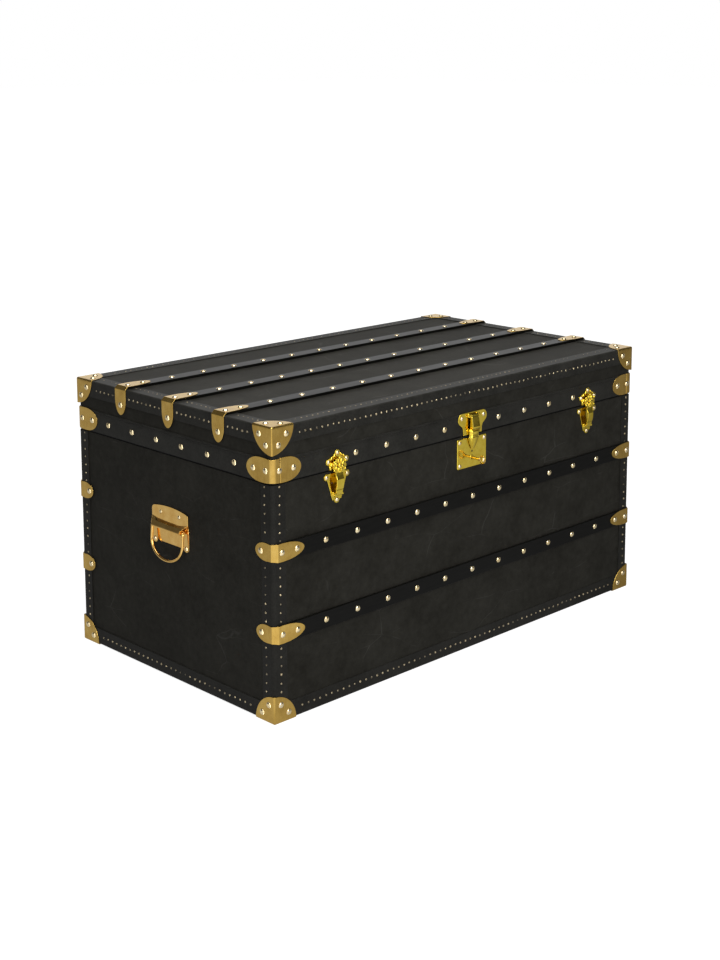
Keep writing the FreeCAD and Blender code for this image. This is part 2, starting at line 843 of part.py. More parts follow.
def handle_ring(end, side, turn):
    """A ring of six-sided wire, bowed below, with a round bar along its top that turns in the hood."""
    name = f"{end}_handle_ring"
    half, bend, level = d.ring_half_width, d.ring_corner, d.ring_height
    bow_top = level - d.ring_drop + d.ring_bow
    flatten = d.ring_bow / half
    bow = [(y, bow_top + flatten * z) for y, z in arc((0, 0), half, 0, -180, BOW_CHORDS)]
    line = [
        *arc((half - bend, level - bend), bend, 90, 0, ELBOW_CHORDS),
        *bow,
        *arc((bend - half, level - bend), bend, 180, 90, ELBOW_CHORDS),
    ]
    spine = doc.addObject("Part::Polygon", f"{name}_line")
    spine.Nodes = [FreeCAD.Vector(-float(ring_out), float(y), float(z)) for y, z in line]
    flats = doc.addObject("Part::RegularPolygon", f"{name}_flats")
    flats.Polygon = WIRE_FLATS
    bind(flats, "Circumradius", d.ring_wire)
    flats.Placement = FreeCAD.Placement(FreeCAD.Vector(), TURNS["y"])
    place(flats, (-ring_out, *line[0]))
    wire = doc.addObject("Part::Sweep", f"{name}_wire")
    wire.Sections = [flats]
    wire.Spine = (spine, [f"Edge{number}" for number in range(1, len(line))])
    wire.Solid = True
    wire.Transition = "Right corner"
    bar = cylinder(f"{name}_bar", (-ring_out, bend - half, level), "y", d.ring_wire, 2 * (half - bend))
    node(on_end(fuse(f"{name}_bent", [wire, bar]), side, turn), name)


for end, (side, turn) in HANDLE_ENDS.items():
    handle_plate(end, side, turn)
    handle_ring(end, side, turn)

# Draw latches: a plate, a bowed lever on its pin, and a catch on the lid

front = -half_depth
zero = as_size(0)


def prism(name, outline, out_low, out_high, middle):
    """An upright plate on the front, drawn in x and z, between two distances off the leather."""
    return profile(name, "XZ", [outline], out_high - out_low, (middle, front - out_low, 0))


def disc(name, middle, height, radius, out_low, out_high):
    return cylinder(name, (middle, front - out_high, height), "y", radius, out_high - out_low)


def barrel(name, middle, half_width, out, height, radius):
    return cylinder(name, (middle - half_width, front - out, height), "x", radius, 2 * half_width)


def front_box(name, middle, half_width, out_low, out_high, low, high):
    near_left = (middle - half_width, front - out_high, low)
    far_right = (middle + half_width, front - out_low, high)
    return box(name, near_left, far_right)


def section(name, steps, width, middle):
    """A bent strip drawn from the side, as distance off the leather and height, and as wide as told."""
    outline = [(front - step[0], *step[1:]) for step in steps]
    return profile(name, "YZ", [outline], width, (middle, 0, 0), midplane=True)


ROLL_FLATS = 10


def roll(name, middle, half_width, out, height, radius):
    """The rolled end of a strap, drawn with a few flats."""
    last = 360 - 360 / ROLL_FLATS
    return section(name, arc((out, height), radius, 0, last, ROLL_FLATS - 1), 2 * half_width, middle)


def ear(name, middle, low, out, height):
    """An ear that stands up from a plate to hold one end of a pin, which is riveted in it."""
    steps = [(low, height - d.latch_barrel), *arc((out, height), d.latch_barrel, -90, 90, 4),
             (low, height + d.latch_barrel)]
    return section(name, steps, d.latch_ear, middle)


def latch_plate(name, middle):
    """A shield-shaped plate with a nail lobe at each upper side and two ears for the lever's pin."""
    right = [
        *arc((0, latch_foot_height), d.latch_foot_lobe, -72, 0, 2),
        (d.latch_foot, latch_foot_height),
        *arc((d.latch_lobe_spread, latch_lobe_height), d.latch_lobe, -110, 110, LOBE_CHORDS),
        (d.latch_head, latch_head_height),
    ]
    plate = prism(f"{name}_sheet", mirrored(right), zero, d.latch_plate, middle)
    reach = (d.latch_barrel_width + d.latch_ear) / 2 + d.side_clearance
    ears = [
        ear(f"{name}_ear{number}", middle + sign * reach, zero, d.latch_pivot_standoff, latch_pivot_height)
        for number, sign in enumerate((-1, 1))
    ]
    node(fuse(f"{name}_solid", [plate, *ears]), name)


def latch_pins():
    half = d.latch_barrel_width / 2 + d.side_clearance
    out, pivot = d.latch_pivot_standoff, latch_pivot_height
    rods = [
        barrel(f"latch_rod{number}", sign * latch_place, half, out, pivot, d.latch_pin)
        for number, sign in enumerate((-1, 1))
    ]
    node(group("latch_rods", rods), "latch_pins")


# Radii of the lever's bow below and above its belly, as multiples of its height
LOW_BOW = 3
HIGH_BOW = 1.5


def latch_lever(name, middle):
    """A strap rolled round the pin and bowed outwards, with a narrow neck and a broad hooked head."""
    out, pivot = d.latch_pivot_standoff, latch_pivot_height
    strap, bow, hook = d.lever_strap, d.lever_bow, hook_height
    tall = hook - pivot
    belly = pivot + tall / 2
    head_foot = hook - 2 * strap
    steps = [
        (out + d.latch_barrel, pivot, -LOW_BOW * tall),
        (bow, belly, -HIGH_BOW * tall),
        (bow - strap, head_foot),
        (bow - strap, hook),
        (bow - 2 * strap, hook + strap),
        (out, hook + strap),
        (out, hook),
        (bow - 2 * strap, hook),
        (bow - 2 * strap, head_foot - strap / 2, HIGH_BOW * tall),
        (bow - strap, belly, LOW_BOW * tall),
        (out + d.latch_barrel - strap, pivot),
    ]
    broad = d.lever_head_width
    strip = section(f"{name}_strip", steps, broad, middle)
    narrow, wide, neck = d.latch_barrel_width / 2, d.lever_width / 2, d.lever_neck_width / 2
    neck_foot = pivot + d.lever_neck_rise
    neck_top = neck_foot + d.lever_neck_tall
    right = [
        (narrow, pivot - d.latch_barrel),
        (narrow, pivot + d.lever_taper_low),
        (wide, pivot + d.lever_taper_high),
        (wide, neck_foot),
        (neck, neck_foot),
        (neck, neck_top),
        (broad / 2, neck_top),
        (broad / 2, hook + 2 * strap),
    ]
    shape = prism(f"{name}_taper", mirrored(right), zero, bow + strap, middle)
    strap_cut = common(f"{name}_strap", [strip, shape])
    rolled = roll(f"{name}_roll", middle, narrow, out, pivot, d.latch_barrel)
    bore = barrel(f"{name}_bore", middle, d.lever_width, out, pivot, d.latch_pin + d.pin_clearance)
    node(cut(f"{name}_bored", fuse(f"{name}_solid", [strap_cut, rolled]), [bore]), name)


def latch_catches():
    """Three-lobed plates on the lid band with a folded lip that the lever's head reaches over."""
    catches = []
    low, high = d.band, d.band + d.latch_plate
    foot = lid_foot + d.side_clearance
    right = [
        (d.catch_foot, foot),
        *arc((d.catch_lobe_spread, catch_lobe_height), d.latch_lobe, -100, 100, LOBE_CHORDS),
        *arc((0, catch_top_height), d.catch_head, -20, 72, 3),
    ]
    lip_top = hook_height - 2 * d.side_clearance
    edge, lip = d.catch_lip_reach, d.lever_strap
    fold_foot = foot + lip
    fold_steps = [
        (low, fold_foot),
        (high, fold_foot),
        (edge, fold_foot + 2 * lip),
        (edge, lip_top),
        (edge - lip, lip_top),
        (edge - lip, fold_foot + 3 * lip),
        (high, fold_foot + 2 * lip),
        (low, fold_foot + 2 * lip),
    ]
    for number, sign in enumerate((-1, 1)):
        middle = sign * latch_place
        plate = prism(f"catch_sheet{number}", mirrored(right), low, high, middle)
        fold = section(f"catch_fold{number}", fold_steps, d.catch_lip_width, middle)
        catches.append(fuse(f"catch_solid{number}", [plate, fold]))
    node(group("catch_pair", catches), "latch_catches")


for end, sign in (("left", -1), ("right", 1)):
    latch_plate(f"{end}_latch_plate", sign * latch_place)
    latch_lever(f"{end}_latch_lever", sign * latch_place)
latch_pins()
latch_catches()

# Lock, bolt, key and hasp

slot_side = d.staple_width / 2 + d.side_clearance
slot_low = staple_height - d.staple_tall / 2 - 10 * d.side_clearance
slot_high = staple_height + d.staple_tall / 2 + 3 * d.side_clearance
bolt_middle = d.staple_depth - d.bolt_deep / 2 - d.bolt_deep / 4


def front_slots(name, depth, outside):
    """The slot for the hasp's staple, and the slot through which the key's bit goes in."""
    bit_side = d.key_bit_thick / 2 + d.side_clearance
    bit_low = keyhole_height - d.key_bit - d.side_clearance
    return [
        front_box(f"{name}_staple_slot", zero, slot_side, -depth, outside, slot_low, slot_high),
        front_box(f"{name}_bit_slot", zero, bit_side, -d.lock_plate, outside, bit_low, keyhole_height),
    ]


def lock_plate():
    half = d.lock_half_width
    middle_height = (lock_top + lock_bottom) / 2
    outline = rounded(half, (lock_top - lock_bottom) / 2, d.lock_corner)
    plate = profile("lock_sheet", "XZ", [outline], d.lock_plate, (0, front, middle_height))
    hole = disc("lock_keyhole", zero, keyhole_height, d.key_shank + d.side_clearance, -d.lock_plate,
                2 * d.lock_plate)
    slots = front_slots("lock_plate", d.lock_plate, 2 * d.lock_plate)
    node(cut("lock_cut", plate, [hole, *slots]), "lock_plate")


def lock_case():
    block = front_box("case_block", zero, d.case_half_width, -d.case_depth, zero, case_bottom, case_top)
    bore = disc("case_bore", zero, keyhole_height, d.key_shank + d.pin_clearance, -d.case_depth, 1)
    play = d.side_clearance
    sweep = d.key_bit + play
    chamber = front_box("case_chamber", zero, sweep, -d.case_depth + d.lock_plate, -d.lock_plate,
                        keyhole_height - sweep, keyhole_height + sweep)
    channel = front_box(
        "case_channel", zero, d.bolt_length / 2, -bolt_middle - d.bolt_deep / 2 - play,
        -bolt_middle + d.bolt_deep / 2 + play,
        staple_height - d.bolt_tall / 2 - play, staple_height + d.bolt_tall / 2 + play,
    )
    bind(channel, "Length", d.bolt_length * 1.5 + play)
    bind(channel, "Placement.Base.x", -d.staple_width / 2 - d.bolt_length - 4 * play)
    tools = [bore, chamber, channel, *front_slots("case", d.case_depth - d.lock_plate / 2, 1)]
    node(cut("case_cut", block, tools), "lock_case")


def lock_bolt():
    low_x = -d.staple_width / 2 - d.bolt_length - 2 * d.side_clearance
    rod = box(
        "bolt_rod",
        (low_x, front + bolt_middle - d.bolt_deep / 2, staple_height - d.bolt_tall / 2),
        (low_x + d.bolt_length, front + bolt_middle + d.bolt_deep / 2, staple_height + d.bolt_tall / 2),
    )
    node(rod, "lock_bolt")


BOW_FLATS = 12


def key():
    bow_out = d.key_reach - d.key_bow
    inner_end = -d.case_depth + d.side_clearance
    shank = disc("key_shank_rod", zero, keyhole_height, d.key_shank, inner_end, bow_out - d.key_bow_eye)
    last = 360 - 360 / BOW_FLATS
    ring = [
        arc((front - bow_out, keyhole_height), radius, 0, last, BOW_FLATS - 1)
        for radius in (d.key_bow, d.key_bow_eye)
    ]
    bow = profile("key_bow_ring", "YZ", ring, d.key_bow_thick, midplane=True)
    bit = front_box(
        "key_bit_flag", zero, d.key_bit_thick / 2, -d.case_depth + d.lock_plate + d.side_clearance,
        -d.lock_plate - d.side_clearance, keyhole_height - d.key_bit, keyhole_height,
    )
    node(fuse("key_solid", [shank, bow, bit]), "key")


def hasp_plate():
    """A plate on the lid band with two round nail lobes, and the ears and pin that the hasp hangs on."""
    waist, lobe, top = d.hasp_waist, d.hasp_lobe, hasp_top
    right = [
        (waist, lid_foot + d.side_clearance),
        (waist, top - 3 * lobe),
        *arc((d.hasp_half_width - lobe, top - lobe), lobe, -90, 90, LOBE_CHORDS),
    ]
    low, high = d.band, d.band + d.latch_plate
    plate = prism("hasp_sheet", mirrored(right), low, high, zero)
    out, pivot = d.hasp_pivot_standoff, hasp_pivot_height
    ear_inside = d.hasp_strap_width / 2 + d.side_clearance
    ears = [
        ear(f"hasp_ear{number}", sign * (ear_inside + d.latch_ear / 2), low, out, pivot)
        for number, sign in enumerate((-1, 1))
    ]
    node(fuse("hasp_plate_solid", [plate, *ears]), "hasp_plate")
    node(barrel("hasp_rod", zero, ear_inside, out, pivot, d.latch_pin), "hasp_pin")


# Radius of the hasp's bow as a multiple of the height of its bowed part
HASP_BOW = 2.5


def hasp():
    """A bowed strap hung on the hasp plate; its lower half is a solid nose with a staple behind it."""
    out, pivot = d.hasp_pivot_standoff, hasp_pivot_height
    strap, bow, nose = d.hasp_strap, d.hasp_bow, hasp_nose_height
    belly = (pivot + 2 * d.seam_height) / 3
    knee = lock_top + strap
    rest = d.lock_plate + d.side_clearance * 3
    over_plate = d.band + d.latch_plate + d.side_clearance * 2
    block_top = d.seam_height + d.hasp_block_rise
    bow_radius = HASP_BOW * (pivot - belly)
    steps = [
        (out + d.latch_barrel, pivot),
        (out + d.latch_barrel - strap, pivot),
        (bow - strap, block_top),
        (over_plate, block_top),
        (over_plate, knee),
        (rest, knee - strap),
        (rest, nose),
        (rest + strap, nose),
        (bow - strap, knee, bow_radius),
        (bow, belly),
    ]
    strip = section("hasp_strip", steps, d.hasp_strap_width, zero)
    wide = d.hasp_strap_width / 2
    right = [(d.hasp_nose / 2, nose - spare), (wide, knee - strap), (wide, pivot + d.latch_barrel)]
    shape = prism("hasp_outline", mirrored(right), zero, bow + strap, zero)
    strap_cut = common("hasp_strap_cut", [strip, shape])
    rolled = roll("hasp_roll", zero, wide, out, pivot, d.latch_barrel)
    bore = barrel("hasp_bore", zero, d.hasp_strap_width, out, pivot, d.latch_pin + d.pin_clearance)
    staple = front_box(
        "hasp_staple", zero, d.staple_width / 2, -d.staple_depth, rest + strap,
        staple_height - d.staple_tall / 2, staple_height + d.staple_tall / 2,
    )
    play = d.side_clearance
    eye = front_box(
        "hasp_staple_eye", zero, d.staple_width, -bolt_middle - d.bolt_deep / 2 - play,
        -bolt_middle + d.bolt_deep / 2 + play,
        staple_height - d.bolt_tall / 2 - play, staple_height + d.bolt_tall / 2 + play,
    )
    eyed = cut("hasp_staple_eyed", staple, [eye])
    node(cut("hasp_bored", fuse("hasp_solid", [strap_cut, rolled, eyed]), [bore]), "hasp")


lock_plate()
lock_case()
lock_bolt()
key()
hasp_plate()
hasp()

# Lid hinges on the back

hinge_y = half_depth + d.hinge_standoff
hinge_z = d.seam_height + d.seam_gap / 2
knuckle = d.hinge_width / 4


KNUCKLE_FLATS = 12


def hinges():
    """Three butt hinges: the base leaf has the two outer knuckles, which hold the pin, and the lid leaf
    the one between, which turns on it."""
    base_leaves, lid_leaves, pins = [], [], []
    reach = d.hinge_barrel + d.side_clearance
    leaf_y = (half_depth, half_depth + d.hinge_leaf)
    gap = d.side_clearance
    outer_length = knuckle - gap / 2
    inner_length = 2 * knuckle - gap
    last = 360 - 360 / KNUCKLE_FLATS
    flats = arc((hinge_y, hinge_z), d.hinge_barrel, 0, last, KNUCKLE_FLATS - 1)
    for number in (-1, 0, 1):
        middle = number * hinge_place
        name = f"hinge{number + 1}"
        left = middle - d.hinge_width / 2
        right = middle + d.hinge_width / 2

        def leaf(part, low, high):
            return box(f"{name}_{part}", (left, leaf_y[0], low), (right, leaf_y[1], high))

        def rolled(part, start, length):
            return profile(f"{name}_{part}", "YZ", [flats], length, (start, 0, 0))

        def clear(part, start, length):
            return box(
                f"{name}_{part}",
                (start, leaf_y[0] - spare, hinge_z - reach),
                (start + length, leaf_y[1] + spare, hinge_z + reach),
            )

        base_notch = clear("base_notch", left + outer_length, d.hinge_width - 2 * outer_length)
        base_sheet = leaf("base_leaf", hinge_z - d.hinge_tall, hinge_z)
        base_leaf = cut(f"{name}_base_cut", base_sheet, [base_notch])
        outer = [rolled("outer0", left, outer_length), rolled("outer1", right - outer_length, outer_length)]
        base_leaves.append(fuse(f"{name}_base", [base_leaf, *outer]))

        lid_notches = [
            clear("lid_notch0", left, knuckle + gap / 2),
            clear("lid_notch1", right - knuckle - gap / 2, knuckle + gap / 2),
        ]
        lid_sheet = leaf("lid_leaf", hinge_z, hinge_z + d.hinge_tall)
        lid_leaf = cut(f"{name}_lid_cut", lid_sheet, lid_notches)
        inner = rolled("inner", middle - inner_length / 2, inner_length)
        start, length = left + outer_length, d.hinge_width - 2 * outer_length
        bore_radius = d.hinge_pin + d.pin_clearance
        bore = cylinder(f"{name}_bore", (start, hinge_y, hinge_z), "x", bore_radius, length)
        lid_leaves.append(cut(f"{name}_lid", fuse(f"{name}_lid_solid", [lid_leaf, inner]), [bore]))
        pins.append(cylinder(f"{name}_pin", (start, hinge_y, hinge_z), "x", d.hinge_pin, length))
    node(group("hinge_base_set", base_leaves), "hinge_base_leaves")
    node(group("hinge_lid_set", lid_leaves), "hinge_lid_leaves")
    node(group("hinge_pin_set", pins), "hinge_pins")


hinges()

# Nails: domed heads, drawn with six flats

FACES = {"front": (0, -1, 0), "back": (0, 1, 0), "left": (-1, 0, 0), "right": (1, 0, 0),
         "top": (0, 0, 1), "bottom": (0, 0, -1)}
HEAD_FLATS = 6
CROWN_SHARE = 0.55


def nail_heads(name, spots, radius):
    """Heads of one size seated at (x, y, z) on faces that look the way they are named."""
    def ring(size, level):
        return [
            FreeCAD.Vector(size * math.cos(step), size * math.sin(step), level)
            for step in (2 * math.pi * turn / HEAD_FLATS for turn in range(HEAD_FLATS))
        ]

    def flat(points):
        return Part.Face(Part.makePolygon([*points, points[0]]))

    foot, crown = ring(radius, 0), ring(radius * CROWN_SHARE, float(d.nail_rise))
    sides = [
        flat([foot[step - 1], foot[step], crown[step], crown[step - 1]]) for step in range(HEAD_FLATS)
    ]
    head = Part.Solid(Part.Shell([flat(foot[::-1]), *sides, flat(crown)]))
    heads = []
    for x, y, z, face in spots:
        seated = head.copy()
        turn = FreeCAD.Rotation(FreeCAD.Vector(0, 0, 1), FreeCAD.Vector(*FACES[face]))
        seated.Placement = FreeCAD.Placement(FreeCAD.Vector(x, y, z), turn)
        heads.append(seated)
    obj = doc.addObject("Part::Feature", f"{name}_heads")
    obj.Shape = Part.makeCompound(heads)
    node(obj, name)


def along(limit, pitch, start=0.0):
    """Places at a pitch, out from the middle both ways, short of a limit."""
    steps = [start + number * pitch for number in range(int((limit - start) / pitch) + 1)]
    return sorted({sign * step for step in steps for sign in (-1, 1)})


x_box, y_box = float(half_length), float(half_depth)
x_bind, y_bind = float(binding_x), float(binding_y)
x_cap, y_cap = x_bind + float(d.cap), y_bind + float(d.cap)
y_slat, z_slat = float(slat_face), float(top_slat_face)
metal = float(d.clip)
head_room = 2 * float(d.nail_radius)
slat_nails = along(x_bind - float(d.clip_long_arm) - head_room / 2, float(d.nail_pitch))
near, far, short = float(d.clip_nail_near), float(d.clip_nail_far), float(d.clip_nail_short)
wall_faces = ((-1, "front"), (1, "back"))
end_faces = ((-1, "left"), (1, "right"))

spots = [
    (x, sign * y_slat, float(height), face)
    for sign, face in wall_faces for height in slat_heights for x in slat_nails
]
nail_heads("base_slat_nails", spots, float(d.nail_radius))


def cap_spots(level, flat_face, inward):
    """Two heads on each of a cap's three leaves, at each of the four corners."""
    found = []
    wide, close = float(d.cap_nail_far), float(d.cap_nail_near)
    for (side, side_face) in end_faces:
        for (end, end_face) in wall_faces:
            for u, v in ((wide, close), (close, wide)):
                found += [
                    (side * (x_cap - u), end * y_cap, level + inward * v, end_face),
                    (side * x_cap, end * (y_cap - u), level + inward * v, side_face),
                    (side * (x_cap - u), end * (y_cap - v), level, flat_face),
                ]
    return found


def clip_spots(height, arm_y, arm_x, on_face, on_end):
    """Heads on the two arms of each corner's clip, counted from the bend."""
    found = []
    for (side, side_face) in end_faces:
        for (end, end_face) in wall_faces:
            found += [(side * (arm_x - u), end * arm_y, height, end_face) for u in on_face]
            found += [(side * arm_x, end * (arm_y - u), height, side_face) for u in on_end]
    return found


spots = [spot for spot in cap_spots(0.0, "bottom", 1) if spot[3] != "bottom"]
for height in slat_heights:
    spots += clip_spots(float(height), y_slat + metal, x_bind + metal, (near, far), (short,))
nail_heads("base_trim_nails", spots, float(d.nail_radius))

top_pitch = float(d.top_slat_pitch)
spots = [(x, row * top_pitch, z_slat, "top") for row in (-1, 0, 1) for x in slat_nails]
band_height = float(lid_foot) + float(d.band_height) / 2
band_limit = float(latch_place - d.latch_lobe_spread - d.latch_lobe) - head_room / 2
spots += [
    (x, -y_box - float(d.band), band_height, "front")
    for x in along(band_limit, float(d.nail_pitch)) if abs(x) > float(d.hasp_half_width) + head_room / 2
]
end_pitch = float(d.end_nail_pitch)
end_limit = y_box - float(d.lid_clip_arm) - head_room / 2
spots += [
    (sign * (x_box + float(d.band)), y, band_height, face)
    for sign, face in end_faces for y in along(end_limit, end_pitch, end_pitch / 2)
]
nail_heads("lid_nails", spots, float(d.nail_radius))

lid_cap_top = float(lid_top) + float(d.binding) + float(d.cap)
clip_near, clip_far = float(d.lid_clip_nail_near), float(d.lid_clip_nail_far)
spots = cap_spots(lid_cap_top, "top", -1)
spots += clip_spots(
    float(lid_clip_height), y_box + float(d.band) + metal, x_box + float(d.band) + metal,
    (clip_near, clip_far), (clip_near, clip_far),
)
for side, face in end_faces:
    for row in (-1, 0, 1):
        edge = x_bind + metal
        spots += [(side * (edge - u), row * top_pitch, z_slat + metal, "top") for u in (near, far)]
        spots.append((side * edge, row * top_pitch, z_slat + metal - short, face))
nail_heads("lid_trim_nails", spots, float(d.nail_radius))

plate_out = -y_box - float(d.latch_plate)
catch_out = plate_out - float(d.band)
latch_x = float(latch_place)
lobe_x = float(d.latch_lobe_spread)
spots = []
for sign in (-1, 1):
    for lobe in (-lobe_x, lobe_x):
        spots.append((sign * latch_x + lobe, plate_out, float(latch_lobe_height), "front"))
    spots.append((sign * latch_x, plate_out, float(latch_foot_height), "front"))
inset = float(d.lock_nail_inset)
for x in (-1, 1):
    for z in (float(lock_top) - inset, float(lock_bottom) + inset):
        spots.append((x * (float(d.lock_half_width) - inset), -y_box - float(d.lock_plate), z, "front"))
for sign, face in end_faces:
    for y in (-1, 1):
        lobe_y = float(d.handle_half_width - d.handle_lobe)
        x_plate = sign * (x_box + float(d.handle_plate))
        spots.append((x_plate, y * float(d.handle_top_nail), float(handle_top_nail_height), face))
        spots.append((x_plate, y * lobe_y, float(handle_lobe_height), face))
nail_heads("hardware_nails", spots, float(d.small_nail_radius))

catch_x = float(d.catch_lobe_spread)
spots = []
for sign in (-1, 1):
    for lobe in (-catch_x, catch_x):
        spots.append((sign * latch_x + lobe, catch_out, float(catch_lobe_height), "front"))
    spots.append((sign * latch_x, catch_out, float(catch_top_height), "front"))
hasp_lobe = float(d.hasp_half_width - d.hasp_waist) * 0.7
for x in (-1, 1):
    x_lobe = x * (float(d.hasp_half_width) - hasp_lobe)
    spots.append((x_lobe, catch_out, float(hasp_top) - hasp_lobe, "front"))
nail_heads("lid_hardware_nails", spots, float(d.small_nail_radius))

# Check every object, then write one file for each sub-part

doc.recompute()
failed = [obj.Label for obj in doc.Objects if {"Invalid", "Error"} & set(obj.State)]
failed += [obj.Label for obj in nodes if obj.Shape.isNull() or not obj.Shape.isValid()]
failed += [obj.Label for obj in nodes if not obj.Shape.Solids]
if failed:
    raise RuntimeError("not built: " + ", ".join(failed))
os.makedirs("parts", exist_ok=True)
for obj in nodes:
    obj.Shape.exportStep(f"parts/{obj.Label}.step")
    print(f"{obj.Label}: {len(obj.Shape.Solids)} solids, {obj.Shape.Volume:.0f} mm3")
print(len(nodes), "sub-parts")
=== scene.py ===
import math
import random

import bmesh
import bpy
from mathutils import Matrix, Vector


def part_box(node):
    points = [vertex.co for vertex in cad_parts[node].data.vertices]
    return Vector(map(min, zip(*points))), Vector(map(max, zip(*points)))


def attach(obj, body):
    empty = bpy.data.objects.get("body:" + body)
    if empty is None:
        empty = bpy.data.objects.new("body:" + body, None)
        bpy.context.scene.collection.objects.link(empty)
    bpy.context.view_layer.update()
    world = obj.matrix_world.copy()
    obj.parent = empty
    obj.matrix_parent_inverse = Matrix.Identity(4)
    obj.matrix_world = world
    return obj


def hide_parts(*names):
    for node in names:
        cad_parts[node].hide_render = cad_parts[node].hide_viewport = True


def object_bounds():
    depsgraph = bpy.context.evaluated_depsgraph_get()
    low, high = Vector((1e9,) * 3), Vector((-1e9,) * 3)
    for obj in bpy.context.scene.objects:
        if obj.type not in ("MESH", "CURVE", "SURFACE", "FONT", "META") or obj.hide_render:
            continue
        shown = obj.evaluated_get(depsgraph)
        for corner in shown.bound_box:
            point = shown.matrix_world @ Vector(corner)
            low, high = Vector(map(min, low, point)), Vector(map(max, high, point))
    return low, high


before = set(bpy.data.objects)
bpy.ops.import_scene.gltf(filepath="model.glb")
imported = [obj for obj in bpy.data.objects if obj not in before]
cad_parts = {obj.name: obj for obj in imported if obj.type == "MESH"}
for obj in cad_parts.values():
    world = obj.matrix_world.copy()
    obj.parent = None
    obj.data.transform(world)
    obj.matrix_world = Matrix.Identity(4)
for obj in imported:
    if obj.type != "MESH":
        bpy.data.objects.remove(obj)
cad_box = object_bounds()
scene = bpy.context.scene
scene.view_settings.view_transform = "Standard"


# Carcass of the box and the lid: plywood boards glued with butt corners.
# Leather hides them outside and cloth inside; the edges that meet at the seam are stained black, which also
# paints the shade of the gap between box and lid.
class Wire:
    """An output socket of a node; arithmetic on it adds Math nodes."""

    def __init__(self, graph, socket):
        self.graph = graph
        self.socket = socket

    def math(self, operation, first, second=0.0):
        return self.graph.node("ShaderNodeMath", {"operation": operation}, {0: first, 1: second})

    def __add__(self, other):
        return self.math("ADD", self, other)

    def __sub__(self, other):
        return self.math("SUBTRACT", self, other)

    def __rsub__(self, other):
        return self.math("SUBTRACT", other, self)

    def __mul__(self, other):
        return self.math("MULTIPLY", self, other)

    def __abs__(self):
        return self.math("ABSOLUTE", self)


class Graph:
    """A node tree to which nodes are added and joined up."""

    def __init__(self, tree):
        self.tree = tree

    def feed(self, socket, value):
        if isinstance(value, Wire):
            self.tree.links.new(value.socket, socket)
        else:
            socket.default_value = value

    def node(self, kind, settings=None, sockets=None, out=0):
        made = self.tree.nodes.new(kind)
        for name, value in (settings or {}).items():
            if name == "stops":
                ramp = made.color_ramp.elements
                while len(ramp) < len(value):
                    ramp.new(0.5)
                for stop, (at, colour) in zip(ramp, value):
                    stop.position = at
                    stop.color = (*colour, 1)
            else:
                setattr(made, name, value)
        for name, value in (sockets or {}).items():
            self.feed(made.inputs[name], value)
        return Wire(self, made.outputs[out])

    def rise(self, value, start, end, low=0.0, high=1.0):
        """Goes smoothly from one level to another while a value crosses a range."""
        sockets = {"Value": value, "From Min": start, "From Max": end, "To Min": low, "To Max": high}
        return self.node("ShaderNodeMapRange", {"interpolation_type": "SMOOTHSTEP"}, sockets)


class Paint(Graph):
    """A finish: one Principled shader and the nodes that feed it."""

    def __init__(self, name, **constants):
        self.material = bpy.data.materials.new(name)
        self.material.use_nodes = True
        super().__init__(self.material.node_tree)
        self.shader = self.tree.nodes["Principled BSDF"]
        self.place = self.node("ShaderNodeTexCoord", out="Object")
        self.set(**constants)

    def set(self, **values):
        for name, value in values.items():
            self.feed(self.shader.inputs[name.replace("_", " ")], value)

    def stretched(self, along, turn=(0, 0, 0)):
        sockets = {"Vector": self.place, "Rotation": turn, "Scale": along}
        return self.node("ShaderNodeMapping", None, sockets)

    def noise(self, scale, detail, roughness, at=None):
        sockets = {"Vector": at or self.place, "Scale": scale, "Detail": detail, "Roughness": roughness}
        return self.node("ShaderNodeTexNoise", None, sockets)

    def cells(self, scale, feature, at=None):
        settings = {"feature": feature}
        return self.node("ShaderNodeTexVoronoi", settings, {"Vector": at or self.place, "Scale": scale})

    def ramp(self, value, *stops):
        return self.node("ShaderNodeValToRGB", {"stops": stops}, {0: value})

    def level(self, value, low, high):
        sockets = {"Value": value, "To Min": low, "To Max": high}
        return self.node("ShaderNodeMapRange", None, sockets)

    def mix(self, factor, first, second):
        sockets = {0: factor, 6: first, 7: second}
        return self.node("ShaderNodeMix", {"data_type": "RGBA"}, sockets, out=2)

    def bump(self, height, strength, distance, under=None):
        sockets = {"Height": height, "Strength": strength, "Distance": distance}
        if under:
            sockets["Normal"] = under
        return self.node("ShaderNodeBump", None, sockets)


def coat(nodes, paint):
    """Gives CAD pieces, as they are, a finish."""
    for name in nodes:
        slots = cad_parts[name].data.materials
        slots.clear()
        slots.append(paint.material)


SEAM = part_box("base_front_panel")[1].z
STAIN_AND_SHADE_REACH = 0.004
STAIN_AND_SHADE = (0.004, 0.004, 0.004, 1)


def at_seam(paint, reach):
    """1 close to the seam between the box and the lid, and 0 away from it."""
    height = paint.node("ShaderNodeSeparateXYZ", None, {0: paint.place}, out=2)
    return 1 - paint.rise(abs(height - SEAM), reach, reach * 1.2)


def plywood():
    paint = Paint("plywood", Roughness=0.75, Specular_IOR_Level=0.08)
    grain = paint.noise(9, 6, 0.6, paint.stretched((1, 9, 9)))
    wood = paint.ramp(grain, (0.3, (0.30, 0.20, 0.11)), (0.7, (0.52, 0.37, 0.22)))
    # Black close to the seam: the boards' stained edges, and painted shade of the gap between box and lid.
    paint.set(Base_Color=paint.mix(at_seam(paint, STAIN_AND_SHADE_REACH), wood, STAIN_AND_SHADE))
    paint.set(Normal=paint.bump(grain, 0.3, 0.0005))
    return paint


walls = ("front", "back", "left", "right")
boards = [f"base_{wall}_panel" for wall in walls] + [f"lid_{wall}_rim" for wall in walls]
coat(["base_bottom_panel", "lid_top_panel"] + boards, plywood())


# Lining: plain woven cotton pasted over thin card inside the box and the lid.
# The closing lip is a wooden frame wrapped in the same cloth, and the lid drops over it.
THREADS = 300.0


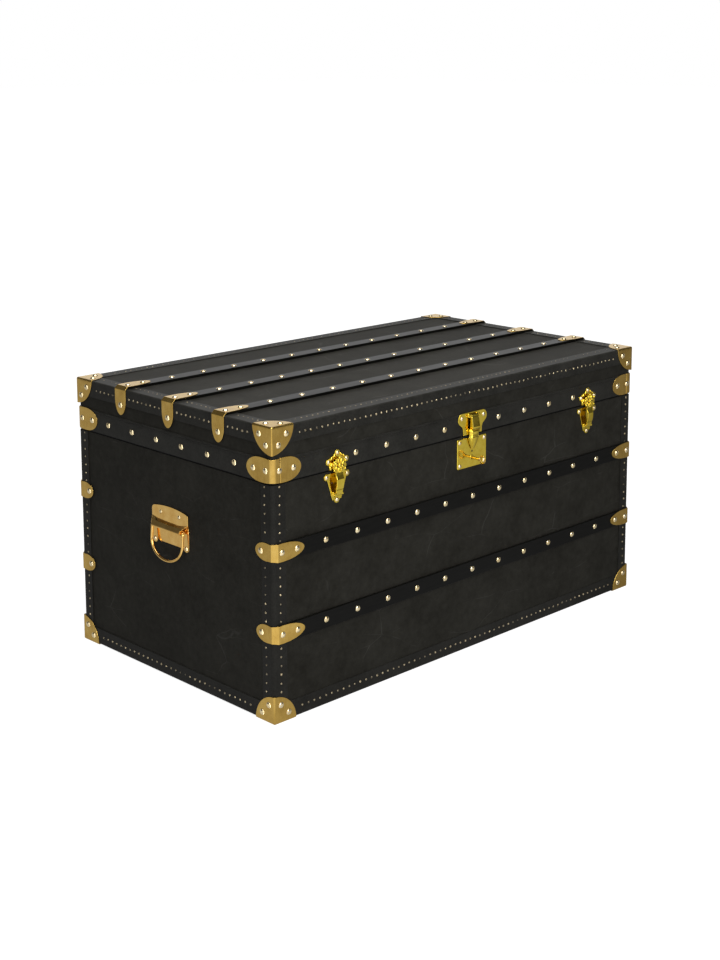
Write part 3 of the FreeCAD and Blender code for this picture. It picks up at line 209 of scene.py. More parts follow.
def lining_cloth():
    paint = Paint("lining_cloth", Roughness=0.92, Sheen_Weight=0.25)
    waves = {"wave_type": "BANDS", "wave_profile": "SIN"}
    close = {"Vector": paint.place, "Scale": THREADS, "Distortion": 0.6}
    x, y, z = [paint.node("ShaderNodeTexWave", {**waves, "bands_direction": way}, close) for way in "XYZ"]
    weave = (x + y + z) * 0.333
    slubs = paint.noise(120, 3, 0.6)
    tone = weave * 0.5 + slubs * 0.5
    paint.set(Base_Color=paint.ramp(tone, (0.25, (0.42, 0.36, 0.26)), (0.75, (0.60, 0.53, 0.41))))
    paint.set(Normal=paint.bump(tone, 0.35, 0.0006))
    return paint


coat(["base_lining", "lid_lining", "closing_lip"], lining_cloth())


# Covering: one black hide with a fine pebble, glued round the walls, the lid and the bottom.
# Cloudy patches and a few long pale creases show where it was stretched over the boards.
SEAM_SHADE_REACH = 0.0016
PAINTED_SEAM_SHADE = (0.003, 0.003, 0.003, 1)
PALE_CREASE = (0.085, 0.083, 0.077, 1)


def black_leather():
    paint = Paint("black_leather", Specular_IOR_Level=0.10)
    clouds = paint.noise(13, 4, 0.6)
    fine = paint.noise(90, 4, 0.6)
    tone = clouds * 0.6 + fine * 0.4
    hide = paint.ramp(tone, (0.32, (0.0138, 0.0128, 0.0098)), (0.70, (0.0345, 0.0330, 0.0275)))
    slow = {"Vector": paint.place, "Scale": 7.0, "Detail": 3.0}
    wander = paint.node("ShaderNodeTexNoise", None, slow, out=1)
    slanted = paint.stretched((0.6, 0.6, 1.5), (0.3, 0.35, 0.2))
    bent = paint.node("ShaderNodeVectorMath", {"operation": "MULTIPLY_ADD"},
                      {0: wander, 1: (0.05, 0.05, 0.05), 2: slanted})
    network = paint.cells(8, "DISTANCE_TO_EDGE", bent)
    crease = (1 - paint.rise(network, 0.0, 0.009)) * paint.rise(clouds, 0.46, 0.66)
    creased = paint.mix(crease * 0.34, hide, PALE_CREASE)
    # Painted shade: the hide is blackened close to the seam, where the gap between box and lid falls in
    # shadow.
    paint.set(Base_Color=paint.mix(at_seam(paint, SEAM_SHADE_REACH), creased, PAINTED_SEAM_SHADE))
    paint.set(Roughness=paint.level(tone, 0.56, 0.72))
    pebble = paint.bump(paint.cells(460, "SMOOTH_F1"), 0.20, 0.0006)
    paint.set(Normal=paint.bump(crease * 0.7 + clouds * 0.6, 0.25, 0.0012, pebble))
    return paint


coat(["base_leather", "base_bottom_cover", "lid_leather", "lid_top_cover"], black_leather())


# Bindings: strips of smoother leather folded over every edge of the box and the lid.
# The folds are softly rolled, and two fine beads are pressed into the band round the lid's foot.
WELD = 1e-6
FLAT = math.radians(0.6)
STRIP_EDGE = 0.0006
FOLD_ROUND = 0.0032
NEAR = 0.0001
CORNER_REACH = 0.0098
SHARP = math.radians(32)
BEAD = 0.0007
BEAD_TURNS = (-1.57, -0.78, 0, 0.78, 1.57)
BAND_CORNER = 0.0088


def finish(name, mesh, paint, body, slot, *stands_for):
    """Turns a bmesh into a piece that rides on a body and stands for CAD pieces."""
    data = bpy.data.meshes.new(name)
    mesh.to_mesh(data)
    mesh.free()
    data.materials.append(paint.material)
    piece = bpy.data.objects.new(name, data)
    scene.collection.objects.link(piece)
    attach(piece, body)
    if stands_for:
        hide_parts(*stands_for)
    return piece


def welded(node):
    """A CAD piece's mesh with its loose triangles joined up."""
    mesh = bmesh.new()
    mesh.from_mesh(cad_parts[node].data)
    bmesh.ops.remove_doubles(mesh, verts=mesh.verts, dist=WELD)
    return mesh


def faceted(node):
    """A CAD piece's mesh with flat neighbours merged into whole faces."""
    mesh = welded(node)
    bmesh.ops.dissolve_limit(mesh, angle_limit=FLAT, verts=mesh.verts, edges=mesh.edges)
    return mesh


def bevel(mesh, edges, radius, steps):
    bmesh.ops.bevel(
        mesh, geom=edges, offset=radius, offset_type="OFFSET", segments=steps,
        profile=0.5, affect="EDGES", clamp_overlap=True, material=-1,
    )


def round_over(mesh, radius):
    """Rounds every sharp edge of a mesh."""
    crisp = [e for e in mesh.edges if len(e.link_faces) == 2 and e.calc_face_angle() > SHARP]
    bevel(mesh, crisp, radius, 2)


def smooth(piece):
    """Smooth faces whose normals lean to the larger face, so that flats stay flat."""
    piece.data.shade_smooth()
    piece.modifiers.new("flats", "WEIGHTED_NORMAL").mode = "FACE_AREA"


def dress(node, paint, body, slot, radius):
    """Stands a piece in for a CAD piece, with the same shape and softly rounded edges."""
    mesh = faceted(node)
    round_over(mesh, radius)
    smooth(finish(node + "_finished", mesh, paint, body, slot, node))


def binding_leather(name, dark, pale):
    paint = Paint(name, Specular_IOR_Level=0.14)
    clouds = paint.noise(24, 4, 0.6)
    fine = paint.noise(260, 3, 0.6)
    tone = clouds * 0.6 + fine * 0.4
    strip = paint.ramp(tone, (0.32, dark), (0.7, pale))
    # Painted shade: the strips are blackened close to the seam, where the gap between box and lid falls in
    # shadow.
    paint.set(Base_Color=paint.mix(at_seam(paint, SEAM_SHADE_REACH), strip, PAINTED_SEAM_SHADE))
    paint.set(Roughness=paint.level(tone, 0.42, 0.58))
    paint.set(Normal=paint.bump(fine, 0.18, 0.0006))
    return paint


def loft(mesh, rings, looped=False, folded=False):
    """Skins a row of rings of points; ends are closed by a face each, or across a folded strip by quads."""
    rows = [[mesh.verts.new(point) for point in ring] for ring in rings]
    pairs = list(zip(rows, rows[1:]))
    if looped:
        pairs.append((rows[-1], rows[0]))
    for first, second in pairs:
        for k in range(len(first)):
            j = (k + 1) % len(first)
            mesh.faces.new((first[k], first[j], second[j], second[k]))
    if folded:
        for row in (rows[0], rows[-1]):
            for k in range(len(row) // 2 - 1):
                mesh.faces.new((row[k], row[k + 1], row[-2 - k], row[-1 - k]))
    elif not looped:
        mesh.faces.new(rows[0][::-1])
        mesh.faces.new(rows[-1])


def made(name, mesh, paint, body, slot, *stands_for):
    """Finishes a mesh that was skinned from points."""
    bmesh.ops.recalc_face_normals(mesh, faces=mesh.faces)
    smooth(finish(name, mesh, paint, body, slot, *stands_for))


def arc(x, y, radius, start, end, steps=8):
    """Points along part of a circle, between two angles in degrees."""
    angles = [math.radians(start + (end - start) * k / steps) for k in range(steps + 1)]
    return [(x + radius * math.cos(a), y + radius * math.sin(a)) for a in angles]


def wall_line(box, radius):
    """The outline of a wrapped box from above, with its corners rounded."""
    x, y = box[1].x - radius, box[1].y - radius
    corners = ((x, -y, -90), (x, y, 0), (-x, y, 90), (-x, -y, 180))
    return [point for cx, cy, start in corners for point in arc(cx, cy, radius, start, start + 90)]


def folded_binding(node, paint, body, level):
    """A binding whose long outer fold, at one height, is rolled softly over the edge."""
    mesh = faceted(node)
    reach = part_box(node)[1]
    fold = [
        e for e in mesh.edges
        if all(abs(v.co.z - level) < NEAR for v in e.verts)
        and all(max(abs(v.co.x) - reach.x, abs(v.co.y) - reach.y) > -CORNER_REACH for v in e.verts)
    ]
    bevel(mesh, fold, FOLD_ROUND, 4)
    round_over(mesh, STRIP_EDGE)
    smooth(finish(node + "_finished", mesh, paint, body, "binding_leather", node))


def pressed_bead(name, height):
    """A fine half-round bead pressed out of the band, right round the lid."""
    mesh = bmesh.new()
    rings = []
    line = wall_line(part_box("lid_band"), BAND_CORNER)
    for (x, y), (nx, ny) in zip(line, line[1:] + line[:1]):
        out = Vector((ny - y, x - nx, 0)).normalized() * BEAD
        spot = Vector((x, y, height))
        ring = [spot + out * math.cos(a) + Vector((0, 0, BEAD * math.sin(a))) for a in BEAD_TURNS]
        rings.append(ring + [spot - out])
    loft(mesh, rings, looped=True)
    made(name, mesh, lit_lid_strip, "lid", "binding_leather")


# One leather in two copies: the lid's is painted lighter, as painted light from above, and the box's darker,
# as painted shade.
shaded_base_strip = binding_leather("base_binding_leather", (0.0102, 0.0098, 0.0082), (0.0265, 0.0256, 0.0222))
lit_lid_strip = binding_leather("lid_binding_leather", (0.0135, 0.0130, 0.0110), (0.0355, 0.0345, 0.0300))
folded_binding("base_bottom_binding", shaded_base_strip, "base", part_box("base_bottom_binding")[0].z)
folded_binding("lid_top_binding", lit_lid_strip, "lid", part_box("lid_top_binding")[1].z)
dress("base_corner_bindings", shaded_base_strip, "base", "binding_leather", STRIP_EDGE)
dress("lid_band", lit_lid_strip, "lid", "binding_leather", STRIP_EDGE)
for name, drop in (("band_bead_upper", 0.0022), ("band_bead_lower", 0.0056)):
    pressed_bead(name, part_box("lid_band")[1].z - drop)


# Slats: hardwood battens with rounded edges in satin black paint, two along the front,
# two along the back and three on the lid, and three runners under the bottom.
def black_gloss():
    paint = Paint("black_gloss", Specular_IOR_Level=0.12)
    grain = paint.noise(160, 4, 0.6, paint.stretched((0.12, 1, 1)))
    deep, worn = (0.0022, 0.0022, 0.0017), (0.0056, 0.0054, 0.0045)
    paint.set(Base_Color=paint.ramp(grain, (0.3, deep), (0.7, worn)))
    paint.set(Roughness=paint.level(grain, 0.30, 0.42))
    paint.set(Normal=paint.bump(grain, 0.10, 0.0006))
    return paint


SLAT_EDGE = 0.0013
gloss = black_gloss()
for node in ("front_upper_slat", "front_lower_slat", "back_upper_slat", "back_lower_slat", "bottom_runners"):
    dress(node, gloss, "base", "black_slat", SLAT_EDGE)
dress("lid_slats", gloss, "lid", "black_slat", SLAT_EDGE)


# Corner caps: stamped brass, three quarter-round leaves folded over each of the eight corners.
# The folds are rounded, and the free edges are slightly eased.
CAP_THICK = 0.0014
CAP_FOLD = 0.0030
CAP_EASE = 0.0006


def islands(node):
    """Lowest and highest corner of each separate solid of a CAD piece."""
    mesh = welded(node)
    seen = set()
    boxes = []
    for start in mesh.verts:
        if start in seen:
            continue
        seen.add(start)
        found = [start]
        for vert in found:
            fresh = [e.other_vert(vert) for e in vert.link_edges if e.other_vert(vert) not in seen]
            seen.update(fresh)
            found.extend(fresh)
        low = Vector([min(v.co[i] for v in found) for i in range(3)])
        high = Vector([max(v.co[i] for v in found) for i in range(3)])
        boxes.append((low, high))
    mesh.free()
    return boxes


def aged_brass():
    paint = Paint("aged_brass", Metallic=1.0)
    brushed = paint.noise(900, 2, 0.5, paint.stretched((1, 1, 0.06)))
    stain = paint.noise(38, 5, 0.65)
    tone = stain * 0.7 + brushed * 0.3
    dull, fair, worn = (0.45, 0.270, 0.056), (0.62, 0.400, 0.096), (0.74, 0.52, 0.155)
    paint.set(Base_Color=paint.ramp(tone, (0.28, dull), (0.52, fair), (0.75, worn)))
    paint.set(Roughness=paint.level(tone, 0.18, 0.32))
    paint.set(Normal=paint.bump(brushed, 0.05, 0.0004))
    return paint


middle = (cad_box[0] + cad_box[1]) / 2


def outer_corner(box):
    """The corner of a box that points away from the middle of the trunk, and the ways inward."""
    low, high = box
    ways = [-math.copysign(1, (low + high)[i] / 2 - middle[i]) for i in range(3)]
    return Vector([low[i] if ways[i] > 0 else high[i] for i in range(3)]), ways


def corner_cap(mesh, box):
    """Three leaves in polar rows round the corner, laid on a box whose edges are rounded."""
    corner, ways = outer_corner(box)
    reach = (box[1] - box[0]).x
    rows = [(far, 0.0) for far in (0.0, 0.0012, 0.0024, 0.0036, 0.0055, 0.010, 0.020, 0.035)]
    rows += [(reach - CAP_EASE, 0.0), (reach - 0.3 * CAP_EASE, 0.3 * CAP_EASE), (reach, CAP_EASE)]
    rows += [(reach, CAP_THICK)] + [(far, CAP_THICK) for far in (0.02, 0.004, 0.0)]
    swing = [0, 1.2, 2.4, 3.6, 5, 8, 13, 20, 28, 36, 45]
    swing += [90 - angle for angle in reversed(swing[:-1])]
    for flat in range(3):
        first, second = [i for i in range(3) if i != flat]
        grid = []
        for far, depth in rows:
            line = []
            for angle in swing:
                spot = Vector((0, 0, 0))
                spot[first] = far * math.cos(math.radians(angle))
                spot[second] = far * math.sin(math.radians(angle))
                core = Vector([max(value, CAP_FOLD) for value in spot])
                spot = core + (spot - core).normalized() * (CAP_FOLD - depth)
                line.append(mesh.verts.new([corner[i] + ways[i] * spot[i] for i in range(3)]))
            grid.append(line)
        for one, two in zip(grid, grid[1:]):
            for k in range(len(swing) - 1):
                mesh.faces.new((one[k], one[k + 1], two[k + 1], two[k]))


brass = aged_brass()
for node, body in (("base_corner_caps", "base"), ("lid_corner_caps", "lid")):
    mesh = bmesh.new()
    for box in islands(node):
        corner_cap(mesh, box)
    bmesh.ops.remove_doubles(mesh, verts=mesh.verts, dist=WELD)
    made(node + "_finished", mesh, brass, body, "aged_brass", node)


# Clips: brass straps bent over the ends of the slats and round the lid's corners.
# Slat clips have a flat chamfer at the bend, those at the lid's corners a round one and a groove.
CLIP_THICK = 0.0013
CLIP_EASE = 0.0005
CREASE = 0.0013
SLAT_CHAMFER = 0.0092
TOP_CHAMFER = 0.0064
LID_BEND = 0.0095
LID_WAIST, SLAT_WAIST, WAIST_REACH, WAIST_STEP = 0.0016, 0.0012, 0.011, 0.003
TIP_HALF = 0.0004
GROOVE_AT, GROOVE_DEEP = 0.0125, 0.0010
GROOVE_STOPS, GROOVE_HALF = (-0.0013, -0.0008, 0.0008, 0.0013), 0.0009
TIP_TURNS = (1.5, 5, 10, 18, 28, 40, 55, 72, 90)


def bent_line(points, radius, steps=5):
    """A line through points with round bends: places on it, and the side to its right at each."""
    corners = [Vector(point) for point in points]
    ways = [(b - a).normalized() for a, b in zip(corners, corners[1:])]
    sides = [Vector((way.y, -way.x)) for way in ways]
    line = [(corners[0], sides[0])]
    for k in range(1, len(corners) - 1):
        turn = math.copysign(1, ways[k - 1].cross(ways[k]))
        back = ways[k - 1] * radius * math.tan(ways[k - 1].angle(ways[k]) / 2)
        centre = corners[k] - back - sides[k - 1] * radius * turn
        for step in range(steps + 1):
            side = sides[k - 1].slerp(sides[k], step / steps)
            line.append((centre + side * radius * turn, side))
    line.append((corners[-1], sides[-1]))
    return line


def lengths(line):
    """The distance along a line at each of its places."""
    far = [0.0]
    for (here, _), (there, _) in zip(line, line[1:]):
        far.append(far[-1] + (there - here).length)
    return far


def strap_ring(half, thick, ease):
    """Section of a strap: flat behind, with its two front edges eased."""
    ease = min(ease, half * 0.6)
    right = [(half, 0), (half, thick - ease), (half - 0.3 * ease, thick - 0.3 * ease), (half - ease, thick)]
    return right + [(-across, out) for across, out in reversed(right)]


def bent_strap(mesh, line, stops, half_at, thick_at, ease, to_world):
    """A strap that follows a bent line and changes its width and thickness along it."""
    far = lengths(line)
    rings = []
    for stop in sorted({*far, *stops}):
        k = max(i for i in range(len(far) - 1) if far[i] <= stop)
        share = (stop - far[k]) / (far[k + 1] - far[k])
        place = line[k][0].lerp(line[k + 1][0], share)
        side = line[k][1].lerp(line[k + 1][1], share).normalized()
        section = strap_ring(half_at(stop), thick_at(stop), ease)
        rings.append([to_world(place + side * out, across) for across, out in section])
    loft(mesh, rings)


def clip(mesh, box, axes, bend, crease, taper, waist, groove):
    """A clip round the corner that its CAD box shows; each arm narrows over a share of its length."""
    corner, ways = outer_corner(box)
    along, away, across = axes
    size = box[1] - box[0]
    half = size[across] / 2
    centre = (box[0] + box[1])[across] / 2
    thick = CLIP_THICK
    bent = [(thick, bend), (bend, thick)] if bend else [(thick, thick)]
    line = bent_line([(thick, size[away]), *bent, (size[along], thick)], crease)
    total = lengths(line)[-1]
    fold = size[away] - (bend or 0.3 * crease)
    arms = (fold * taper, (total - fold) * taper)
    shares = [1 - math.cos(math.radians(angle)) for angle in TIP_TURNS]
    stops = [arms[0] * share for share in shares] + [total - arms[1] * share for share in shares]
    stops += [fold + step * WAIST_STEP for step in range(-5, 6)]
    if groove:
        stops += [size[away] + groove + step for step in GROOVE_STOPS]
    stops = [stop for stop in stops if 0 < stop < total]

    def half_at(stop):
        end, arm = (stop, arms[0]) if stop < fold else (total - stop, arms[1])
        wide = half - waist * math.exp(-((stop - fold) / WAIST_REACH) ** 2)
        return wide if end >= arm else max(wide * math.sqrt(1 - (1 - end / arm) ** 2), TIP_HALF)

    def thick_at(stop):
        dent = groove and abs(stop - size[away] - groove) < GROOVE_HALF
        return thick - (GROOVE_DEEP if dent else 0.0)

    def to_world(spot, wide):
        point = Vector((0, 0, 0))
        point[along] = corner[along] + ways[along] * spot.x
        point[away] = corner[away] + ways[away] * spot.y
        point[across] = centre + wide
        return point

    bent_strap(mesh, line, stops, half_at, thick_at, CLIP_EASE, to_world)


WALL, TOP = (0, 1, 2), (0, 2, 1)
for node, body, *bends in (
    ("front_slat_clips", "base", WALL, SLAT_CHAMFER, CREASE, 0.68, SLAT_WAIST, None),
    ("back_slat_clips", "base", WALL, SLAT_CHAMFER, CREASE, 0.68, SLAT_WAIST, None),
    ("lid_corner_clips", "lid", WALL, None, LID_BEND, 0.55, LID_WAIST, GROOVE_AT),
    ("lid_slat_clips", "lid", TOP, TOP_CHAMFER, CREASE, 0.62, 0.0, None),
):
    mesh = bmesh.new()
    for box in islands(node):
        clip(mesh, box, *bends)
    made(node + "_finished", mesh, brass, body, "aged_brass", node)


# Nails: domed brass heads driven through the slats, the band, the clips and the plates.
# Each head stands where its plain stand-in does and has the same width and rise.
def dome(sides, rings):
    """A closed dome of radius 1 on the plane z = 0, to be stamped many times."""
    mesh = bmesh.new()
    bmesh.ops.create_uvsphere(mesh, u_segments=sides, v_segments=2 * rings, radius=1)
    everything = mesh.verts[:] + mesh.edges[:] + mesh.faces[:]
    bmesh.ops.bisect_plane(mesh, geom=everything, plane_co=(0, 0, 0), plane_no=(0, 0, -1), clear_outer=True)
    rim = [e for e in mesh.edges if e.is_boundary]
    bmesh.ops.holes_fill(mesh, edges=rim, sides=sides)
    for face in mesh.faces:
        face.smooth = len(face.verts) <= 4
    data = bpy.data.meshes.new("dome")
    mesh.to_mesh(data)
    mesh.free()
    return data


def stamp(mesh, shape, base, out, radius, rise):
    """Adds a dome that stands on a point and faces outwards."""
    first = len(mesh.verts)
    mesh.from_mesh(shape)
    mesh.verts.ensure_lookup_table()
    turn = Vector(out).to_track_quat("Z", "Y").to_matrix().to_4x4()
    size = Matrix.Diagonal((radius, radius, rise, 1))
    bmesh.ops.transform(mesh, matrix=Matrix.Translation(base) @ turn @ size, verts=mesh.verts[first:])


def worn_metal(name, noise, dull, clean, rough):
    """A metal whose colour and roughness wander together between two stops."""
    paint = Paint(name, Metallic=1.0)
    age = paint.noise(*noise)
    paint.set(Base_Color=paint.ramp(age, dull, clean))
    paint.set(Roughness=paint.level(age, *rough))
    return paint


dull_nail, clean_nail = (0.3, (0.80, 0.62, 0.32)), (0.7, (0.97, 0.84, 0.56))
nail = worn_metal("nail_brass", (45, 3, 0.6), dull_nail, clean_nail, (0.10, 0.20))
nail_head = dome(14, 4)
for node, body in (
    ("base_slat_nails", "base"), ("base_trim_nails", "base"), ("hardware_nails", "base"),
    ("lid_nails", "lid"), ("lid_trim_nails", "lid"), ("lid_hardware_nails", "lid"),
):
    mesh = bmesh.new()
    for low, high in islands(node):
        size = high - low
        axis = min(range(3), key=lambda i: size[i])
        out = Vector((0, 0, 0))
        out[axis] = math.copysign(1, (low + high)[axis] / 2 - middle[axis])
        base = (low + high) / 2
        base[axis] = low[axis] if out[axis] > 0 else high[axis]
        stamp(mesh, nail_head, base, out, max(size) / 2, size[axis])
    finish(node + "_finished", mesh, nail, body, "aged_brass", node)


# Tacks: small round-headed tacks, about every 14 mm, that hold the edges of the bindings.
# They stop short of the caps, clips and slats, and no two sit quite alike.
TACK_RADIUS = 0.0021
TACK_RISE = 0.0011
LID_PITCH, FOOT_PITCH, CORNER_PITCH = 0.0130, 0.0140, 0.0155
SIDE_INSET, FRONT_INSET, END_INSET = 0.0170, 0.0165, 0.0205
TACK_CLEARANCE = 0.0025
FINE_TACK_RADIUS = 0.0014
FINE_TACK_RISE = 0.0006
TACK_SLIP, TACK_LEAN = 0.0006, 0.16
ROW_REACH = 0.05
CORNER_FOOT, CORNER_HEAD = 0.055, 0.006
COVERS = {
    "base": (
        "base_corner_caps", "front_slat_clips", "back_slat_clips", "front_upper_slat", "front_lower_slat",
        "back_upper_slat", "back_lower_slat", "hinge_base_leaves", "lid_corner_clips",
    ),
    "lid": ("lid_corner_caps", "lid_slat_clips", "lid_slats", "lid_corner_clips", "hinge_lid_leaves"),
}
covered = {body: [box for node in nodes for box in islands(node)] for body, nodes in COVERS.items()}


def hidden(spot, boxes):
    """Whether a tack would sit under, or close beside, a piece in one of the boxes."""
    return any(
        all(low[i] - TACK_CLEARANCE < spot[i] < high[i] + TACK_CLEARANCE for i in range(3))
        for low, high in boxes
    )


def rows_round(box, height):
    """Ends and outward face of a row of tacks along each wall at one height."""
    low, high = box
    left, right, front, back = low.x + ROW_REACH, high.x - ROW_REACH, low.y + ROW_REACH, high.y - ROW_REACH
    for side, out in ((low.y, (0, -1, 0)), (high.y, (0, 1, 0))):
        yield Vector((left, side, height)), Vector((right, side, height)), out
    for side, out in ((low.x, (-1, 0, 0)), (high.x, (1, 0, 0))):
        yield Vector((side, front, height)), Vector((side, back, height)), out


def corner_rows(box, low_z, high_z):
    """Ends and outward face of the two rows of tacks beside each upright corner."""
    low, high = box
    for x, inward in ((low.x, 1), (high.x, -1)):
        for y, deeper in ((low.y, 1), (high.y, -1)):
            on_front = Vector((x + inward * FRONT_INSET, y, 0))
            on_end = Vector((x, y + deeper * END_INSET, 0))
            for foot, out in ((on_front, (0, -deeper, 0)), (on_end, (-inward, 0, 0))):
                yield foot + Vector((0, 0, low_z)), foot + Vector((0, 0, high_z)), out


def top_rows(box):
    """Ends of the rows of tacks on the top leaf of the lid's binding."""
    low, high = box
    up = (0, 0, 1)
    left, right = low.x + END_INSET, high.x - END_INSET
    front, back = low.y + END_INSET, high.y - END_INSET
    for y in (front, back):
        yield Vector((left, y, high.z)), Vector((right, y, high.z)), up
    for x in (left, right):
        yield Vector((x, front, high.z)), Vector((x, back, high.z)), up


def tack_rows(name, rows, body, pitch, radius=TACK_RADIUS, rise=TACK_RISE):
    """Drives tacks along rows, each a little off its place, its upright and its size."""
    chance = random.Random(name)
    mesh = bmesh.new()
    for start, end, out in rows:
        count = round((end - start).length / pitch)
        for k in range(count + 1):
            spot = start.lerp(end, k / count)
            slip = Vector([chance.uniform(-TACK_SLIP, TACK_SLIP) for _ in range(3)])
            spot += slip - Vector(out) * slip.dot(Vector(out))
            lean = Vector(out) + Vector([chance.uniform(-TACK_LEAN, TACK_LEAN) for _ in range(3)])
            size = radius * chance.uniform(0.88, 1.1)
            if not hidden(spot, covered[body]):
                stamp(mesh, tack_head, spot, lean.normalized(), size, rise)
    finish(name, mesh, tack, body, "aged_brass")


dull_tack, clean_tack = (0.34, (0.10, 0.087, 0.065)), (0.62, (0.56, 0.46, 0.29))
tack = worn_metal("tack_metal", (55, 2, 0.5), dull_tack, clean_tack, (0.42, 0.24))
tack_head = dome(8, 3)
bottom_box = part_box("base_bottom_binding")
corner_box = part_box("base_corner_bindings")
lid_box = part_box("lid_top_binding")
tack_rows("bottom_tacks", rows_round(bottom_box, bottom_box[0].z + SIDE_INSET), "base", FOOT_PITCH)
tack_rows("corner_tacks", corner_rows(corner_box, CORNER_FOOT, SEAM - CORNER_HEAD), "base", CORNER_PITCH)
tack_rows("lid_side_tacks", rows_round(lid_box, lid_box[1].z - SIDE_INSET), "lid", LID_PITCH)
tack_rows("lid_top_tacks", top_rows(lid_box), "lid", LID_PITCH, FINE_TACK_RADIUS, FINE_TACK_RISE)


# Handles: on each end a lower leaf with two feet, and an upper leaf whose lower edge curls out
# over the bar of a bowed drop ring. All polished brass; sizes are in millimetres on the wall.
MM = 0.001
WALL_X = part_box("base_leather")[1].x
FRONT_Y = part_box("base_leather")[0].y
LEAF_HALF, LEAF_TOP, LEAF_ARCH, LEAF_CORNER = 52.8, 326.8, 6.0, 6.0
HOOD_HALF, BAR_OUT, BAR_UP = 40.5, 7.5, 288.0
FOLD_ENDS, FOLD_DROP, LEAF_BACK, LEAF_THICK = 302.0, 7.0, 0.6, 1.7
LIP_OUT, LIP_UP, ROLL_UP = 13.5, 286.0, 293.2
RING_HALF, RING_WIRE, RING_ELBOW, RING_FOOT, RING_BOW = 45.4, 2.6, 5.0, 229.0, 34.0
RING_LEAN = 5.0


def end_place(side):
    """Millimetres out from an end wall, along it and up, as a point of the trunk."""
    def to_world(out, along, up):
        return Vector((side * (WALL_X + out * MM), -side * along * MM, up * MM))
    return to_world


def mirror(right):
    """A closed outline from its right half, given from the bottom up."""
    return right + [(-x, y) for x, y in reversed(right)]


def inset(outline, by):
    """Moves every corner of a closed outline inwards."""
    points = [Vector(point) for point in outline]
    area = sum(a.cross(b) for a, b in zip(points, points[1:] + points[:1]))
    by = math.copysign(by, area)
    moved = []
    for before, here, after in zip(points[-1:] + points[:-1], points, points[1:] + points[:1]):
        first, second = (here - before).normalized(), (after - here).normalized()
        side = Vector((-first.y - second.y, first.x + second.x))
        moved.append(here + side * by / max(1 + first.dot(second), 0.4))
    return moved


def plate(mesh, outline, low, high, ease, to_world):
    """A flat plate cut to an outline, between two distances off the wall, its front edge eased."""
    levels = ((0, low), (0, high - ease), (0.3 * ease, high - 0.3 * ease), (ease, high))
    loft(mesh, [[to_world(out, *point) for point in inset(outline, by)] for by, out in levels])


def turns(sides):
    """Angles that share a full turn evenly."""
    return [2 * math.pi * k / sides for k in range(sides)]


def turned(mesh, section, at):
    """A round piece: its closed section of radius and length is carried round an axis."""
    loft(mesh, [[at(radius, turn, far) for radius, far in section] for turn in turns(20)], looped=True)


def collar(mesh, to_world, across, half, out, up, inner, outer):
    """A short tube round a bar that runs along the wall."""
    ease = 0.4
    section = [(inner, -half), (outer - ease, -half), (outer, ease - half), (outer, half - ease),
               (outer - ease, half), (inner, half)]

    def at(radius, angle, far):
        return to_world(out + radius * math.cos(angle), across + far, up + radius * math.sin(angle))

    turned(mesh, section, at)


def tube(mesh, path, radius, out_at, to_world):
    """A closed loop of round bar, at a distance off the wall that depends on the height."""
    points = [Vector(point) for point in path]
    rings = []
    for before, here, after in zip(points[-1:] + points[:-1], points, points[1:] + points[:1]):
        way = (after - before).normalized()
        side = Vector((way.y, -way.x)) * radius
        ring = []
        for angle in turns(12):
            spot = here + side * math.cos(angle)
            ring.append(to_world(out_at(spot.y) + radius * math.sin(angle), spot.x, spot.y))
        rings.append(ring)
    loft(mesh, rings, looped=True)


def leaf_section(share):
    """Line down the upper leaf at a share of its half width: top edge, curved fold and curled lip."""
    corner = max(0.0, abs(share) * LEAF_HALF - LEAF_HALF + LEAF_CORNER)
    top = LEAF_TOP - LEAF_ARCH * share ** 2 - LEAF_CORNER + math.sqrt(LEAF_CORNER ** 2 - corner ** 2)
    fold = FOLD_ENDS - FOLD_DROP * (1 - share ** 2)
    roll = ROLL_UP + 0.3 * (fold - ROLL_UP)
    curled = [(LIP_OUT, LIP_UP), (LIP_OUT - 2.1, LIP_UP + 5.0), (LIP_OUT - 6.0, roll)]
    line = bent_line(curled + [(LEAF_BACK, fold), (LEAF_BACK, top)], 1.4, 4)
    return [(spot + side * off, off) for off in (0.0, LEAF_THICK) for spot, side in line]


def handle_leaves(mesh, to_world):
    foot = [(30, 257.2), (38.2, 260.6), *arc(46, 259, 7.4, 180, 360, 14), (54, 284), (52, 303)]
    plate(mesh, mirror(foot), 0, 1.5, 0.6, to_world)
    shares = [-1, -0.985, -0.95, -0.9] + [k / 10 for k in range(-8, 9)] + [0.9, 0.95, 0.985, 1]
    rings = []
    for share in shares:
        section = leaf_section(share)
        half = len(section) // 2
        points = []
        for spot, off in section[:half] + section[half:][::-1]:
            curl = min(max(spot.x - LEAF_BACK - off, 0.0) / (LIP_OUT - LEAF_THICK), 1.0)
            across = share * (LEAF_HALF + (HOOD_HALF - LEAF_HALF) * curl)
            points.append(to_world(spot.x, across, spot.y))
        rings.append(points)
    loft(mesh, rings, folded=True)
    for side in (-1, 1):
        across = side * (HOOD_HALF - 1.2)
        collar(mesh, to_world, across, 1.4, BAR_OUT, BAR_UP, RING_WIRE + 0.15, RING_WIRE + 2.0)


